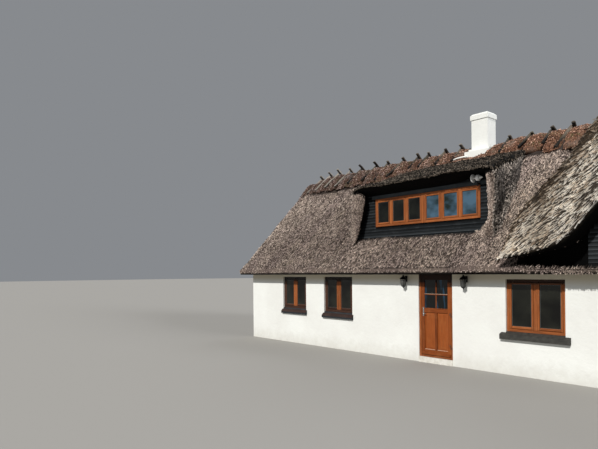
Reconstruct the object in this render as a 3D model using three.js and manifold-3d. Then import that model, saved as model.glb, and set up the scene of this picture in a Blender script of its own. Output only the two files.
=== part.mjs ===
// A thatched cottage: a hollow masonry house with a thick reed roof, a wide dormer, a hooded gable
// dormer, a chimney and a front door that swings outwards.
// Millimetres, +Z up, the front faces -Y. House coordinates put the ridge over y = 0; the whole house
// is then shifted so that the origin lies in the middle of its footprint.

import * as THREE from 'three';
import { mergeVertices } from 'three/addons/utils/BufferGeometryUtils.js';
import Module from 'manifold-3d';

const wasm = await Module();
wasm.setup();

// Gap left between pieces that touch, and how far a cutting tool runs past what it cuts.
const touch = 0.3;
const beyond = 1000;
const roundSides = 12;

// Walls
const wall = { halfLength: 9050, halfWidth: 3100, thick: 350, top: 2140 };
const innerLength = wall.halfLength - wall.thick;
const innerWidth = wall.halfWidth - wall.thick;
const groundFloorTop = 150;
const upperFloor = { top: 2340, halfWidth: 2840 };

// Roof: 45 degree planes z = rise - |y|
const roof = { outerRise: 5750, innerRise: 5190, flatTop: 5300, verge: 9250 };
const eave = { lipY: 3560, underY: 3520 };

// Heather ridge, and the pairs of logs that cross over it and press it in
const ridgeCap = {
  radius: 640, centreZ: 5000, steps: 4, edgeY: 830, edgeZ: 5008, buttY: 770, valley: 75,
};
const logs = {
  places: [
    -8840, -8410, -7930, -7390, -6840, -6190, -5690, -5050, -4470, -4090, -3480, -2940, -1500, -900, -360,
    130,
  ],
  spacing: 560, lastX: 8920, width: 90, thick: 60, pitch: THREE.MathUtils.degToRad(37.5), crossingZ: 5700,
  shift: 40, sunk: 10, reach: 780, frontTip: 60, backTip: 110,
};

// Wide dormer on the left of the door
const wideDormer = {
  left: -4600, right: -330, cheekLeft: 340, cheekRight: 220,
  sillZ: 3060, ceilingZ: 4365, frontY: -3100, frontZ: 4430, frontLean: 60, pitch: 0.308,
  cheekY: -2950, boardsY: -2650, boardsThick: 120,
};
const dormerFrames = { left: -3940, right: -837, bottom: 3375, top: 4120 };

// Gable dormer on the right of the door: a hood of thatch over a board front
const hood = {
  centreX: 3200, lowFrontY: -3800, highFrontY: -3650, crownRadius: 1700, crownAngle: 47, crownSteps: 3,
  crownZ: 5341,
  outline: [[1327, 4079], [687, 3476], [352, 2968]],
  underside: [[170, 2425], [990, 2570], [1420, 2770]],
  undersideApexZ: 4650,
};
const skirt = { left: 350, top: 2240 };
const gableFront = { left: 1600, y: -3100, thick: 140, wingY: -3000, overlap: 20 };
const gableFrame = { halfWidth: 580, bottom: 2980, top: 3830 };

// Chimney
const stack = { x: -2260, halfX: 245, halfY: 215, top: 6550, flueX: 125, flueY: 100, flueBottom: 900 };
const collar = { halfX: 350, halfY: 420, bottom: roof.flatTop + 1, top: 5480, stepOut: 60, stepTop: 5560 };
const head = { out: 25, bottom: 6380, bevel: 50 };

// Sills of the windows in the masonry. Each slopes down by fall to its nose, which is lip thick and
// stands out before the wall, and a tongue of it lies in the wall under the frame.
const boardSill = { out: 70, wide: 35, fall: 113, lip: 67, deep: 60, tongue: 160, tenon: 10 };
const slabSill = { out: 90, wide: 100, fall: 55, lip: 103, deep: 60, tongue: 160, tenon: 0 };

// Windows in the masonry: two casements each
const frontWindows = [
  { name: 'window_1', left: -7425, right: -6337, bottom: 1070, top: 2025, sill: boardSill },
  { name: 'window_2', left: -5555, right: -4433, bottom: 1040, top: 2030, sill: boardSill },
  { name: 'window_3', left: -30, right: 1175, bottom: 900, top: 1990, sill: slabSill },
  { name: 'window_4', left: 2597, right: 3803, bottom: 900, top: 1990, sill: slabSill },
  { name: 'window_5', left: 5225, right: 6430, bottom: 900, top: 1990, sill: slabSill },
];
const backWindowCentres = [-6800, -2600, 2600, 6800];
const backWindow = { width: 1100, bottom: 1040, top: 2030 };
const endLower = { width: 1100, bottom: 1040, top: 2030 };
const endUpper = { width: 800, bottom: 2950, top: 3800 };
const windowFrame = { recess: 50, proud: 20, depth: 110, face: 60, casement: 45, mullion: 70, pane: 16 };

// Front door
const doorway = { left: -2235, right: -1305, thresholdTop: 130, thresholdOut: 30, headGap: 1 };
const doorFrame = { front: -3075, back: -2955, post: 55, head: 50, sill: 50, stopY: -3015, stop: 15 };
const leaf = {
  left: -2171.7, right: -1365.3, bottom: 185.3, top: 2083.7, front: -3070, thick: 50, stile: 85,
  glassBottom: 1280, glassTop: 1960, glassThick: 6, panelBottom: 310, panelTop: 1190, panelGap: 60,
  panelThick: 22,
};
const hinge = {
  x: -1362.8, y: -3086, radius: 8, half: 50, heights: [420, 1150, 1850], tab: 38, tabBack: 2,
};
const lever = {
  x: -2115, z: 1205, plateWide: 36, plateTall: 210, plateThick: 8, rise: -40, reach: 120, radius: 9, out: 55,
};

// Lamps
const lantern = {
  y: -3100, offset: 826, top: 2085, out: 120, plateHalf: 40, plateThick: 15, plateTop: 30, plateBottom: 170,
  armHalf: 12, armTop: 50, armBottom: 75, sides: 8,
  profile: [
    [0, -330], [18, -330], [55, -270], [70, -120], [90, -105], [60, -60], [15, -25], [15, 0], [0, 0],
  ],
};
const doorCentre = (doorway.left + doorway.right) / 2;
const spot = {
  x: -830, y: -2800, z: 4260, bracketHalf: 20, bracketTop: 110, bracketBottom: 137, postHalf: 14,
  postBottom: 185,
  profile: [
    [0, -130], [14, -130], [38, -62], [70, -45], [70, 15], [16, 25], [16, 95], [95, 100], [95, 125], [0, 125],
  ],
};

const material = (color, roughness, metalness = 0) =>
  new THREE.MeshStandardMaterial({ color, roughness, metalness });
const render = material('#f1efe8', 0.9);
const reed = material('#7d7166', 1);
const paleReed = material('#b3a58d', 1);
const heather = material('#7a5442', 1);
const blackBoard = material('#16191d', 0.8);
const stainedWood = material('#a9542a', 0.6);
const doorWood = material('#8a3f1f', 0.55);
const glass = material('#2a3b46', 0.1);
const slate = material('#33363a', 0.7);
const timber = material('#a58d6a', 0.8);
const paleSill = material('#cfc6ae', 0.8);
const blackMetal = material('#121212', 0.5, 0.6);
const steel = material('#b9b9b6', 0.3, 1);
const whitePaint = material('#f4f4f0', 0.4);

const house = new THREE.Group();
house.position.y = -(hood.lowFrontY + eave.lipY) / 2;

function add(name, geometry, surface) {
  const mesh = new THREE.Mesh(geometry, surface);
  mesh.name = name;
  house.add(mesh);
}

// A box from its limits.
function box(x0, x1, y0, y1, z0, z1) {
  const geometry = new THREE.BoxGeometry(x1 - x0, y1 - y0, z1 - z0);
  return geometry.translate((x0 + x1) / 2, (y0 + y1) / 2, (z0 + z1) / 2);
}

function shapeOf(points) {
  return new THREE.Shape(points.map(([a, b]) => new THREE.Vector2(a, b)));
}

function rectangle(a0, a1, b0, b1) {
  return [[a0, b0], [a1, b0], [a1, b1], [a0, b1]];
}

const alongX = new THREE.Matrix4().makeBasis(
  new THREE.Vector3(0, 1, 0), new THREE.Vector3(0, 0, 1), new THREE.Vector3(1, 0, 0));
const alongY = new THREE.Matrix4().makeBasis(
  new THREE.Vector3(1, 0, 0), new THREE.Vector3(0, 0, 1), new THREE.Vector3(0, -1, 0));

// A (y, z) outline carried from x0 to x1, with holes cut through.
function prismX(points, x0, x1, holes = []) {
  const geometry = new THREE.ExtrudeGeometry(shapeOf(points), { depth: x1 - x0, bevelEnabled: false });
  const body = geometry.applyMatrix4(alongX).translate(x0, 0, 0);
  return holes.length ? cut(body, ...holes.map((hole) => prismX(hole, x0 - 1, x1 + 1))) : body;
}

// An (x, z) outline carried from y0 to y1, with holes cut through.
function prismY(points, y0, y1, holes = []) {
  const geometry = new THREE.ExtrudeGeometry(shapeOf(points), { depth: y1 - y0, bevelEnabled: false });
  const body = geometry.applyMatrix4(alongY).translate(0, y1, 0);
  return holes.length ? cut(body, ...holes.map((hole) => prismY(hole, y0 - 1, y1 + 1))) : body;
}

function solid(geometry) {
  const bare = geometry.clone();
  bare.deleteAttribute('normal');
  bare.deleteAttribute('uv');
  const merged = mergeVertices(bare, 1e-3);
  return new wasm.Manifold(new wasm.Mesh({
    numProp: 3,
    vertProperties: new Float32Array(merged.attributes.position.array),
    triVerts: new Uint32Array(merged.index.array),
  }));
}

function geometryOf(manifold) {
  const mesh = manifold.getMesh();
  const geometry = new THREE.BufferGeometry();
  geometry.setAttribute('position', new THREE.BufferAttribute(new Float32Array(mesh.vertProperties), 3));
  geometry.setIndex(new THREE.BufferAttribute(new Uint32Array(mesh.triVerts), 1));
  geometry.computeVertexNormals();
  return geometry;
}

const join = (...pieces) => geometryOf(pieces.map(solid).reduce((sum, piece) => sum.add(piece)));
const cut = (body, ...tools) =>
  geometryOf(tools.map(solid).reduce((rest, tool) => rest.subtract(tool), solid(body)));

const mirrorY = (points) => points.map(([y, z]) => [-y, z]).reverse();
const stackHole = (bottom, top, spare = touch) => box(
  stack.x - stack.halfX - spare, stack.x + stack.halfX + spare,
  -stack.halfY - spare, stack.halfY + spare, bottom, top);

function addFloors() {
  const x = innerLength - touch;
  add('ground_floor', box(-x, x, -innerWidth + touch, innerWidth - touch, 0, groundFloorTop), timber);
  const slab = box(-x, x, -upperFloor.halfWidth, upperFloor.halfWidth, wall.top + touch, upperFloor.top);
  add('upper_floor', cut(slab, stackHole(wall.top - 1, upperFloor.top + 1)), timber);
}

// The hole that a masonry window needs, with room for the sill's tongue under the frame.
function windowHole(item) {
  return rectangle(item.left, item.right, item.bottom - item.sill.deep, item.top);
}

// A window of given width around a centre, for the walls that the door isn't in.
function plainWindow(centre, { width, bottom, top }) {
  return { left: centre - width / 2, right: centre + width / 2, bottom, top, sill: boardSill };
}

function addFrontWalls() {
  const leftHoles = frontWindows.filter((item) => item.right < doorway.left).map(windowHole);
  const rightHoles = frontWindows.filter((item) => item.left > doorway.right).map(windowHole);
  const left = rectangle(-wall.halfLength, doorway.left, 0, wall.top);
  const right = rectangle(doorway.right, wall.halfLength, 0, wall.top);
  add('front_wall_left', prismY(left, -wall.halfWidth, -innerWidth, leftHoles), render);
  add('front_wall_right', prismY(right, -wall.halfWidth, -innerWidth, rightHoles), render);
}

function addBackWall() {
  const holes = backWindowCentres.map((x) => windowHole(plainWindow(x, backWindow)));
  const outline = rectangle(-wall.halfLength, wall.halfLength, 0, wall.top);
  add('back_wall', prismY(outline, innerWidth, wall.halfWidth, holes), render);
}

function addGableWalls() {
  const y = innerWidth - touch;
  const seat = wall.top + touch;
  const slope = roof.innerRise - 2 * touch;
  const outline = [
    [-y, 0], [y, 0], [y, seat], [slope - seat, seat], [0, slope], [seat - slope, seat], [-y, seat],
  ];
  const holes = [endLower, endUpper].map((item) => windowHole(plainWindow(0, item)));
  add('gable_wall_left', prismX(outline, -wall.halfLength, -innerLength, holes), render);
  add('gable_wall_right', prismX(outline, innerLength, wall.halfLength, holes), render);
}

// A window of side-hung casements, facing -Y: frame, mullions and panes in one solid.
function windowUnit(left, right, bottom, top, front, casements) {
  const f = windowFrame;
  const clear = [left + touch, right - touch, bottom + touch, top - touch];
  const inside = clear[1] - clear[0] - 2 * f.face - (casements - 1) * f.mullion;
  const width = inside / casements;
  const holes = [];
  for (let i = 0; i < casements; i += 1) {
    const x = clear[0] + f.face + i * (width + f.mullion);
    const rail = f.face + f.casement;
    holes.push(rectangle(x + f.casement, x + width - f.casement, clear[2] + rail, clear[3] - rail));
  }
  const frame = prismY(rectangle(...clear), front, front + f.depth, holes);
  const paneY = front + f.depth / 2;
  const pane = box(
    clear[0] + f.face, clear[1] - f.face, paneY, paneY + f.pane, clear[2] + f.face, clear[3] - f.face);
  return join(frame, pane);
}

// The sill of a window in the wall face at wallY, facing -Y.
function sillOf(item, wallY) {
  const s = item.sill;
  const top = item.bottom;
  const frameY = wallY + windowFrame.recess;
  const faceTop = top - (s.fall * windowFrame.recess) / (windowFrame.recess + s.out);
  const tongue = [
    [wallY - 1, top - s.deep + touch], [wallY + s.tongue, top - s.deep + touch],
    [wallY + s.tongue, top + s.tenon], [frameY + 1, top + s.tenon], [frameY, top], [wallY - 1, faceTop],
  ];
  const nose = [
    [wallY - s.out, top - s.fall - s.lip], [wallY - touch, top - s.fall - s.lip],
    [wallY - touch, faceTop], [wallY - s.out, top - s.fall],
  ];
  return join(
    prismX(tongue, item.left + touch, item.right - touch),
    prismX(nose, item.left - s.wide, item.right + s.wide));
}

// Frame and sill of a plain window whose wall face stands at wallY, in one solid.
function plainWindowUnit(item, wallY) {
  const { left, right, bottom, top } = item;
  return join(windowUnit(left, right, bottom, top, wallY + windowFrame.recess, 2), sillOf(item, wallY));
}

function addMasonryWindows() {
  const front = -wall.halfWidth;
  for (const item of frontWindows) {
    if (item.sill === boardSill) {
      add(item.name, plainWindowUnit(item, front), stainedWood);
    } else {
      const { left, right, bottom, top } = item;
      add(item.name, windowUnit(left, right, bottom, top, front + windowFrame.recess, 2), stainedWood);
      add(`${item.name}_sill`, sillOf(item, front), slate);
    }
  }
  backWindowCentres.forEach((x, i) => {
    const unit = plainWindowUnit(plainWindow(x, backWindow), front);
    add(`back_window_${i + 1}`, unit.rotateZ(Math.PI), stainedWood);
  });
  for (const [side, turn] of [['left', -Math.PI / 2], ['right', Math.PI / 2]]) {
    for (const [level, item] of [['lower', endLower], ['upper', endUpper]]) {
      const unit = plainWindowUnit(plainWindow(0, item), -wall.halfLength);
      add(`${side}_window_${level}`, unit.rotateZ(turn), stainedWood);
    }
  }
}

// Outline of the front slope in (y, z), up to the ridge.
function slopeOutline() {
  const seat = wall.top + touch;
  return [
    [-eave.lipY, roof.outerRise - eave.lipY], [-eave.underY, seat], [seat - roof.innerRise, seat],
    [-touch / 2, roof.innerRise - touch / 2], [-touch / 2, roof.flatTop],
    [roof.flatTop - roof.outerRise, roof.flatTop],
  ];
}

// Outline of the field under the wide dormer, cut flat where the dormer front stands.
function underDormerOutline() {
  const seat = wall.top + touch;
  const z = wideDormer.sillZ;
  return [
    [-eave.lipY, roof.outerRise - eave.lipY], [-eave.underY, seat], [seat - roof.innerRise, seat],
    [z - roof.innerRise, z], [z - roof.outerRise, z],
  ];
}

// Lower surface of the gable dormer's hood, from its left foot over the apex to its right foot.
function hoodUnderside(lower = 0) {
  const left = hood.underside.map(([x, z]) => [x, z - lower]);
  const right = left.map(([x, z]) => [2 * hood.centreX - x, z]).reverse();
  return [...left, [hood.centreX, hood.undersideApexZ - lower], ...right];
}

// Everything under the hood, as a tool that opens the roof there.
function hoodTunnel() {
  const right = 2 * hood.centreX - skirt.left;
  const edge = hoodUnderside().filter(([x]) => x > skirt.left && x < right);
  const outline = [
    [skirt.left, wall.top - beyond], [right, wall.top - beyond], [right, hoodHeight(skirt.left)],
    ...edge.reverse(), [skirt.left, hoodHeight(skirt.left)],
  ];
  return prismY(outline, -eave.lipY - beyond, 0);
}

// Height of the hood's lower surface at a place on its left half.
function hoodHeight(x) {
  const line = [...hood.underside, [hood.centreX, hood.undersideApexZ]];
  const i = line.findIndex(([px], k) => k > 0 && px >= x);
  const [[x0, z0], [x1, z1]] = [line[i - 1], line[i]];
  return z0 + ((z1 - z0) * (x - x0)) / (x1 - x0);
}

function addMainThatch() {
  const slope = slopeOutline();
  const middleLeft = wideDormer.right + touch;
  const split = touch / 2;
  add('thatch_front_left', prismX(slope, -roof.verge, wideDormer.left - touch), reed);
  add('thatch_front_under_dormer', prismX(underDormerOutline(), wideDormer.left, wideDormer.right), reed);
  add('thatch_front_middle', cut(prismX(slope, middleLeft, hood.centreX - split), hoodTunnel()), reed);
  add('thatch_front_right', cut(prismX(slope, hood.centreX + split, roof.verge), hoodTunnel()), reed);
  const seat = wall.top + touch;
  const lip = roof.outerRise - eave.lipY;
  const backY = gableFront.y - touch;
  const skirtOutline = [
    [-eave.lipY, lip], [-eave.underY, seat], [backY, seat], [backY, skirt.top],
    [skirt.top - roof.outerRise, skirt.top],
  ];
  const skirtLeft = skirt.left + touch;
  add('thatch_skirt', prismX(skirtOutline, skirtLeft, 2 * hood.centreX - skirtLeft), reed);
  const back = prismX(mirrorY(slope), -roof.verge, roof.verge);
  add('thatch_back', cut(back, stackHole(roof.innerRise - beyond, roof.outerRise)), reed);
}

// Rounded outline of the heather ridge in (y, z); spare swells it for cutting other pieces.
function ridgeOutline(spare = 0) {
  const c = ridgeCap;
  const arc = [];
  for (let i = 0; i <= c.steps; i += 1) {
    const angle = Math.PI / 4 - (i / c.steps) * (Math.PI / 2);
    arc.push([
      -(c.radius + spare) * Math.sin(angle), c.centreZ + (c.radius + spare) * Math.cos(angle)]);
  }
  const lift = spare > 0 ? 0 : 2 * touch;
  const bottom = roof.outerRise - c.buttY + lift;
  const underTop = roof.flatTop + lift;
  const inner = roof.outerRise - roof.flatTop;
  return [
    [-c.edgeY - spare, c.edgeZ - spare], [-c.buttY, bottom - spare], [-inner, underTop - spare],
    [inner, underTop - spare], [c.buttY, bottom - spare], [c.edgeY + spare, c.edgeZ - spare],
    ...arc.reverse(),
  ];
}

// Where each pair of logs crosses the ridge.
function logPlaces() {
  const places = [...logs.places];
  while (places.at(-1) + logs.spacing < logs.lastX) {
    places.push(places.at(-1) + logs.spacing);
  }
  return places;
}

// Height of the logs' axis over the ridge's flank.
const logHeight = (y) => logs.crossingZ - Math.abs(y) * Math.tan(logs.pitch);

// Stations along the ridge: both sides of each pair of logs, where the heather is pressed, and between.
function ridgeStations(places) {
  const stations = [[-roof.verge, false]];
  places.forEach((x, i) => {
    stations.push([x - ridgeCap.valley, true], [x + ridgeCap.valley, true]);
    stations.push([i + 1 < places.length ? (x + places[i + 1]) / 2 : roof.verge, false]);
  });
  return stations;
}

// The rounded cap, pressed down to the logs' line at the stations beside them.
function pressedCap(places) {
  const stations = ridgeStations(places);
  const steps = stations.length - 1;
  const depth = 2 * roof.verge;
  const section = shapeOf(ridgeOutline());
  const geometry = new THREE.ExtrudeGeometry(section, { depth, steps, bevelEnabled: false });
  geometry.applyMatrix4(alongX);
  const place = geometry.attributes.position;
  for (let i = 0; i < place.count; i += 1) {
    const [x, pressed] = stations[Math.round((place.getX(i) * steps) / depth)];
    const [y, z] = [place.getY(i), place.getZ(i)];
    const onTop = z > roof.outerRise - Math.abs(y) + 3 * touch;
    place.setX(i, x);
    if (pressed && onTop) {
      place.setZ(i, Math.min(z, logHeight(y) - logs.sunk));
    }
  }
  return geometry;
}

// A log from one end of its axis to the other in (y, z), with x its middle.
function logBar(x, [y0, z0], [y1, z1]) {
  const scale = logs.thick / (2 * Math.hypot(y1 - y0, z1 - z0));
  const [ny, nz] = [(z0 - z1) * scale, (y1 - y0) * scale];
  const section = [[y0 - ny, z0 - nz], [y1 - ny, z1 - nz], [y1 + ny, z1 + nz], [y0 + ny, z0 + nz]];
  return prismX(section, x - logs.width / 2, x + logs.width / 2);
}

// How far down the front a log can run before it meets the dormer's lid or the hood's crown.
function frontReach(x) {
  const slope = Math.tan(logs.pitch);
  const underside = logs.crossingZ - logs.thick / 2 / Math.cos(logs.pitch) - logs.sunk;
  const besideHood = Math.max(Math.abs(x - hood.centreX) - logs.width, 0);
  if (x > wideDormer.left - logs.width && x < wideDormer.right + logs.width) {
    return Math.min(logs.reach, (underside - lidHeight(0)) / (slope - wideDormer.pitch));
  }
  if (besideHood < hood.crownRadius * Math.sin(THREE.MathUtils.degToRad(hood.crownAngle))) {
    const crown = hood.crownZ - hood.crownRadius + Math.sqrt(hood.crownRadius ** 2 - besideHood ** 2);
    return Math.min(logs.reach, (underside - crown) / slope);
  }
  return logs.reach;
}

// The two logs of a pair, side by side where they cross.
function crossedLogs(x) {
  const end = (way, reach) => [way * reach, logHeight(reach)];
  const tip = (way, length) => [
    way * length * Math.cos(logs.pitch), logs.crossingZ + length * Math.sin(logs.pitch)];
  return [
    logBar(x - logs.shift, tip(1, logs.frontTip), end(-1, frontReach(x))),
    logBar(x + logs.shift, tip(-1, logs.backTip), end(1, logs.reach)),
  ];
}

function addRidge() {
  const places = logPlaces();
  const top = logs.crossingZ + beyond;
  const collarHole = box(
    stack.x - collar.halfX - touch, stack.x + collar.halfX + touch, -collar.halfY - touch,
    collar.halfY + touch, collar.bottom - touch, top);
  const ridge = join(pressedCap(places), ...places.flatMap(crossedLogs));
  add('heather_ridge', cut(ridge, stackHole(roof.innerRise, top), collarHole, underLid()), heather);
}

// Height of the wide dormer's lid, and |y| at which it meets the main slope.
const lidHeight = (y) => wideDormer.frontZ + (y - wideDormer.frontY) * wideDormer.pitch;
const lidBack = (roof.outerRise - lidHeight(0)) / (1 - wideDormer.pitch);

// What lies under the lid, as a tool that cuts the heather resting on it.
function underLid() {
  const d = wideDormer;
  const lift = 2 * touch;
  const outline = [
    [d.frontY, d.sillZ], [-lidBack, d.sillZ], [-lidBack, lidHeight(-lidBack) + lift],
    [d.frontY, d.frontZ + lift]];
  return prismX(outline, d.left - touch, d.right + touch);
}

function addWideDormer() {
  const d = wideDormer;
  const innerLeft = d.left + d.cheekLeft;
  const innerRight = d.right - d.cheekRight;
  const outline = [
    [d.frontY, d.frontZ], [d.frontY + d.frontLean, d.ceilingZ], [d.ceilingZ - roof.innerRise, d.ceilingZ],
    [-touch / 2, roof.innerRise - touch / 2], [-touch / 2, roof.flatTop],
    [roof.flatTop - roof.outerRise, roof.flatTop], [-lidBack, lidHeight(-lidBack)],
  ];
  const top = prismX(outline, d.left, d.right);
  add('dormer_thatch_top', cut(top, stackHole(roof.innerRise - beyond, roof.outerRise)), reed);
  const seat = d.sillZ + touch;
  const cheek = [
    [d.cheekY, roof.outerRise + d.cheekY + 2 * touch], [seat - roof.outerRise - touch, seat],
    [seat - roof.innerRise, seat], [d.ceilingZ - roof.innerRise, d.ceilingZ - touch],
    [d.cheekY, d.ceilingZ - touch],
  ];
  add('dormer_cheek_left', prismX(cheek, d.left, innerLeft), reed);
  add('dormer_cheek_right', prismX(cheek, innerRight, d.right), reed);
  const f = dormerFrames;
  const boards = rectangle(innerLeft + touch, innerRight - touch, seat, d.ceilingZ - touch);
  const hole = rectangle(f.left, f.right, f.bottom, f.top);
  add('dormer_boards', prismY(boards, d.boardsY, d.boardsY + d.boardsThick, [hole]), blackBoard);
  const middle = (f.left + f.right) / 2;
  const front = d.boardsY - windowFrame.proud;
  add('dormer_window_left', windowUnit(f.left, middle, f.bottom, f.top, front, 3), stainedWood);
  add('dormer_window_right', windowUnit(middle, f.right, f.bottom, f.top, front, 3), stainedWood);
}

// Left half of the hood's section, from the foot along the lower surface and back over the crown.
function hoodHalf() {
  const crown = [];
  for (let i = 0; i <= hood.crownSteps; i += 1) {
    const angle = THREE.MathUtils.degToRad((hood.crownAngle * i) / hood.crownSteps);
    crown.push([
      hood.centreX - hood.crownRadius * Math.sin(angle),
      hood.crownZ - hood.crownRadius * (1 - Math.cos(angle)),
    ]);
  }
  return [...hood.underside, [hood.centreX, hood.undersideApexZ], ...crown, ...hood.outline];
}

// Draws the upper edge of the hood's front face back, so that the face leans.
function leanFront(geometry) {
  const place = geometry.attributes.position;
  for (let i = 0; i < place.count; i += 1) {
    const x = place.getX(i) > hood.centreX ? 2 * hood.centreX - place.getX(i) : place.getX(i);
    const onFront = Math.abs(place.getY(i) - hood.lowFrontY) < 1;
    const above = place.getZ(i) > hoodHeight(Math.max(x, hood.underside[0][0] + 1)) + 1;
    if (onFront && above) {
      place.setY(i, hood.highFrontY);
    }
  }
  return geometry;
}

function addGableDormer() {
  const half = hoodHalf();
  const mirrored = half.map(([x, z]) => [2 * hood.centreX - x, z]).reverse();
  const across = [-beyond, 2 * hood.centreX + beyond];
  const eaveY = -eave.lipY - beyond;
  const roofPrism = prismX([
    [eaveY, roof.outerRise + eaveY + 2 * touch], [0, roof.outerRise + 2 * touch], [beyond, 0], [eaveY, 0],
  ], ...across);
  const ridgeTool = prismX(ridgeOutline(1), ...across);
  const backY = -roof.outerRise + hood.crownZ;
  for (const [side, outline, shift] of [['left', half, -touch / 2], ['right', mirrored, touch / 2]]) {
    const block = leanFront(prismY(outline, hood.lowFrontY, backY)).translate(shift, 0, 0);
    add(`gable_thatch_${side}`, cut(block, roofPrism, ridgeTool), paleReed);
  }
  addGableFront();
}

function addGableFront() {
  const g = gableFront;
  const right = 2 * hood.centreX - g.left;
  const seat = wall.top + touch;
  const lower = 1.5 * touch;
  const middle = [
    [g.left, seat], [right, seat], [right, hoodHeight(g.left) - lower],
    [hood.centreX, hood.undersideApexZ - lower], [g.left, hoodHeight(g.left) - lower],
  ];
  const f = gableFrame;
  const hole = rectangle(hood.centreX - f.halfWidth, hood.centreX + f.halfWidth, f.bottom, f.top);
  const back = g.y + g.thick;
  const front = prismY(middle, g.y, back, [hole]);
  const wingLeft = skirt.left + touch;
  const wing = [
    [wingLeft, seat], [g.left + g.overlap, seat], [g.left + g.overlap, hoodHeight(g.left) - lower],
    [g.left, hoodHeight(g.left) - lower],
    ...hood.underside.slice(1).reverse().map(([x, z]) => [x, z - lower]),
    [wingLeft, hoodHeight(wingLeft) - lower],
  ];
  const otherWing = wing.map(([x, z]) => [2 * hood.centreX - x, z]).reverse();
  const wings = [wing, otherWing].map((outline) => prismY(outline, g.wingY, back));
  add('gable_front', join(front, ...wings), blackBoard);
  const unit = windowUnit(
    hood.centreX - f.halfWidth, hood.centreX + f.halfWidth, f.bottom, f.top, g.y - windowFrame.proud, 2);
  add('gable_window', unit, stainedWood);
}

function addChimney() {
  const s = stack;
  const around = (outX, outY, bottom, top) => box(s.x - outX, s.x + outX, -outY, outY, bottom, top);
  const shaft = around(s.halfX, s.halfY, groundFloorTop + touch, s.top - head.bevel);
  const apron = around(collar.halfX, collar.halfY, collar.bottom, collar.top);
  const step = around(
    s.halfX + collar.stepOut, s.halfY + collar.stepOut, collar.bottom, collar.stepTop);
  const band = around(s.halfX + head.out, s.halfY + head.out, head.bottom, s.top - head.bevel);
  const bevel = around(s.halfX + head.out, s.halfY + head.out, s.top - head.bevel - 1, s.top);
  const place = bevel.attributes.position;
  for (let i = 0; i < place.count; i += 1) {
    if (place.getZ(i) > s.top - 1) {
      place.setX(i, s.x + Math.sign(place.getX(i) - s.x) * (s.halfX + head.out - head.bevel));
      place.setY(i, Math.sign(place.getY(i)) * (s.halfY + head.out - head.bevel));
    }
  }
  const flue = around(s.flueX, s.flueY, s.flueBottom, s.top + 1);
  add('chimney', cut(join(shaft, apron, step, band, bevel), flue), render);
}

// One half of each lift-off hinge: the frame's barrel (way -1) carries the leaf's barrel (way +1).
function hingeHalves(way) {
  const tabFront = hinge.y + hinge.tabBack;
  const tabBack = way < 0 ? doorFrame.front + 1 : leaf.front + 1;
  return hinge.heights.flatMap((z) => {
    const bottom = way < 0 ? z - hinge.half : z + touch / 2;
    const top = way < 0 ? z - touch / 2 : z + hinge.half;
    const barrel = new THREE.CylinderGeometry(hinge.radius, hinge.radius, top - bottom, roundSides)
      .rotateX(Math.PI / 2).translate(hinge.x, hinge.y, (bottom + top) / 2);
    const tab = box(
      Math.min(hinge.x, hinge.x - way * hinge.tab), Math.max(hinge.x, hinge.x - way * hinge.tab),
      tabFront, tabBack, bottom, top);
    return [barrel, tab];
  });
}

function addDoor() {
  const d = doorway;
  const f = doorFrame;
  const frameBottom = d.thresholdTop + touch;
  const outside = -wall.halfWidth - d.thresholdOut;
  const threshold = box(d.left + touch, d.right - touch, outside, -innerWidth - touch, 0, d.thresholdTop);
  add('door_threshold', threshold, paleSill);
  const frameTop = wall.top - d.headGap;
  const outer = rectangle(d.left + touch, d.right - touch, frameBottom, frameTop);
  const inner = rectangle(
    d.left + touch + f.post, d.right - touch - f.post, frameBottom + f.sill, frameTop - f.head);
  const stopInner = rectangle(
    inner[0][0] + f.stop, inner[1][0] - f.stop, inner[0][1] + f.stop, inner[2][1] - f.stop);
  const lining = prismY(outer, f.front, f.back, [inner]);
  const stops = prismY(outer, f.stopY, f.back, [stopInner]);
  add('door_frame', join(lining, stops, ...hingeHalves(-1)), stainedWood);
  addLeaf();
}

function addLeaf() {
  const l = leaf;
  const back = l.front + l.thick;
  const left = l.left + l.stile;
  const right = l.right - l.stile;
  const middle = (left + right) / 2;
  const panels = [[left, middle - l.panelGap / 2], [middle + l.panelGap / 2, right]];
  const glassHole = rectangle(left, right, l.glassBottom, l.glassTop);
  const panelHoles = panels.map(([x0, x1]) => rectangle(x0, x1, l.panelBottom, l.panelTop));
  const outline = rectangle(l.left, l.right, l.bottom, l.top);
  const board = prismY(outline, l.front, back, [glassHole, ...panelHoles]);
  const centre = l.front + l.thick / 2;
  const halfPanel = l.panelThick / 2;
  const sheets = panels.map(([x0, x1]) => box(
    x0 - 1, x1 + 1, centre - halfPanel, centre + halfPanel, l.panelBottom - 1, l.panelTop + 1));
  add('door_leaf', join(board, ...sheets, ...hingeHalves(1)), doorWood);
  const halfGlass = l.glassThick / 2;
  add('door_glass', box(
    left + touch, right - touch, centre - halfGlass, centre + halfGlass, l.glassBottom + touch,
    l.glassTop - touch), glass);
  add('door_handle', leverUnit(l.front - touch), steel);
}

// A lever handle on its plate, in front of the door's face.
function leverUnit(face) {
  const { x, z, radius, reach, out } = lever;
  const plate = box(
    x - lever.plateWide / 2, x + lever.plateWide / 2, face - lever.plateThick, face,
    z - lever.plateTall / 2, z + lever.plateTall / 2);
  const neck = new THREE.CylinderGeometry(radius, radius, out, roundSides)
    .translate(x, face - out / 2, z + lever.rise);
  const arm = new THREE.CylinderGeometry(radius, radius, reach, roundSides)
    .rotateZ(Math.PI / 2).translate(x + reach / 2 - radius, face - out, z + lever.rise);
  return join(plate, neck, arm);
}

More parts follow.
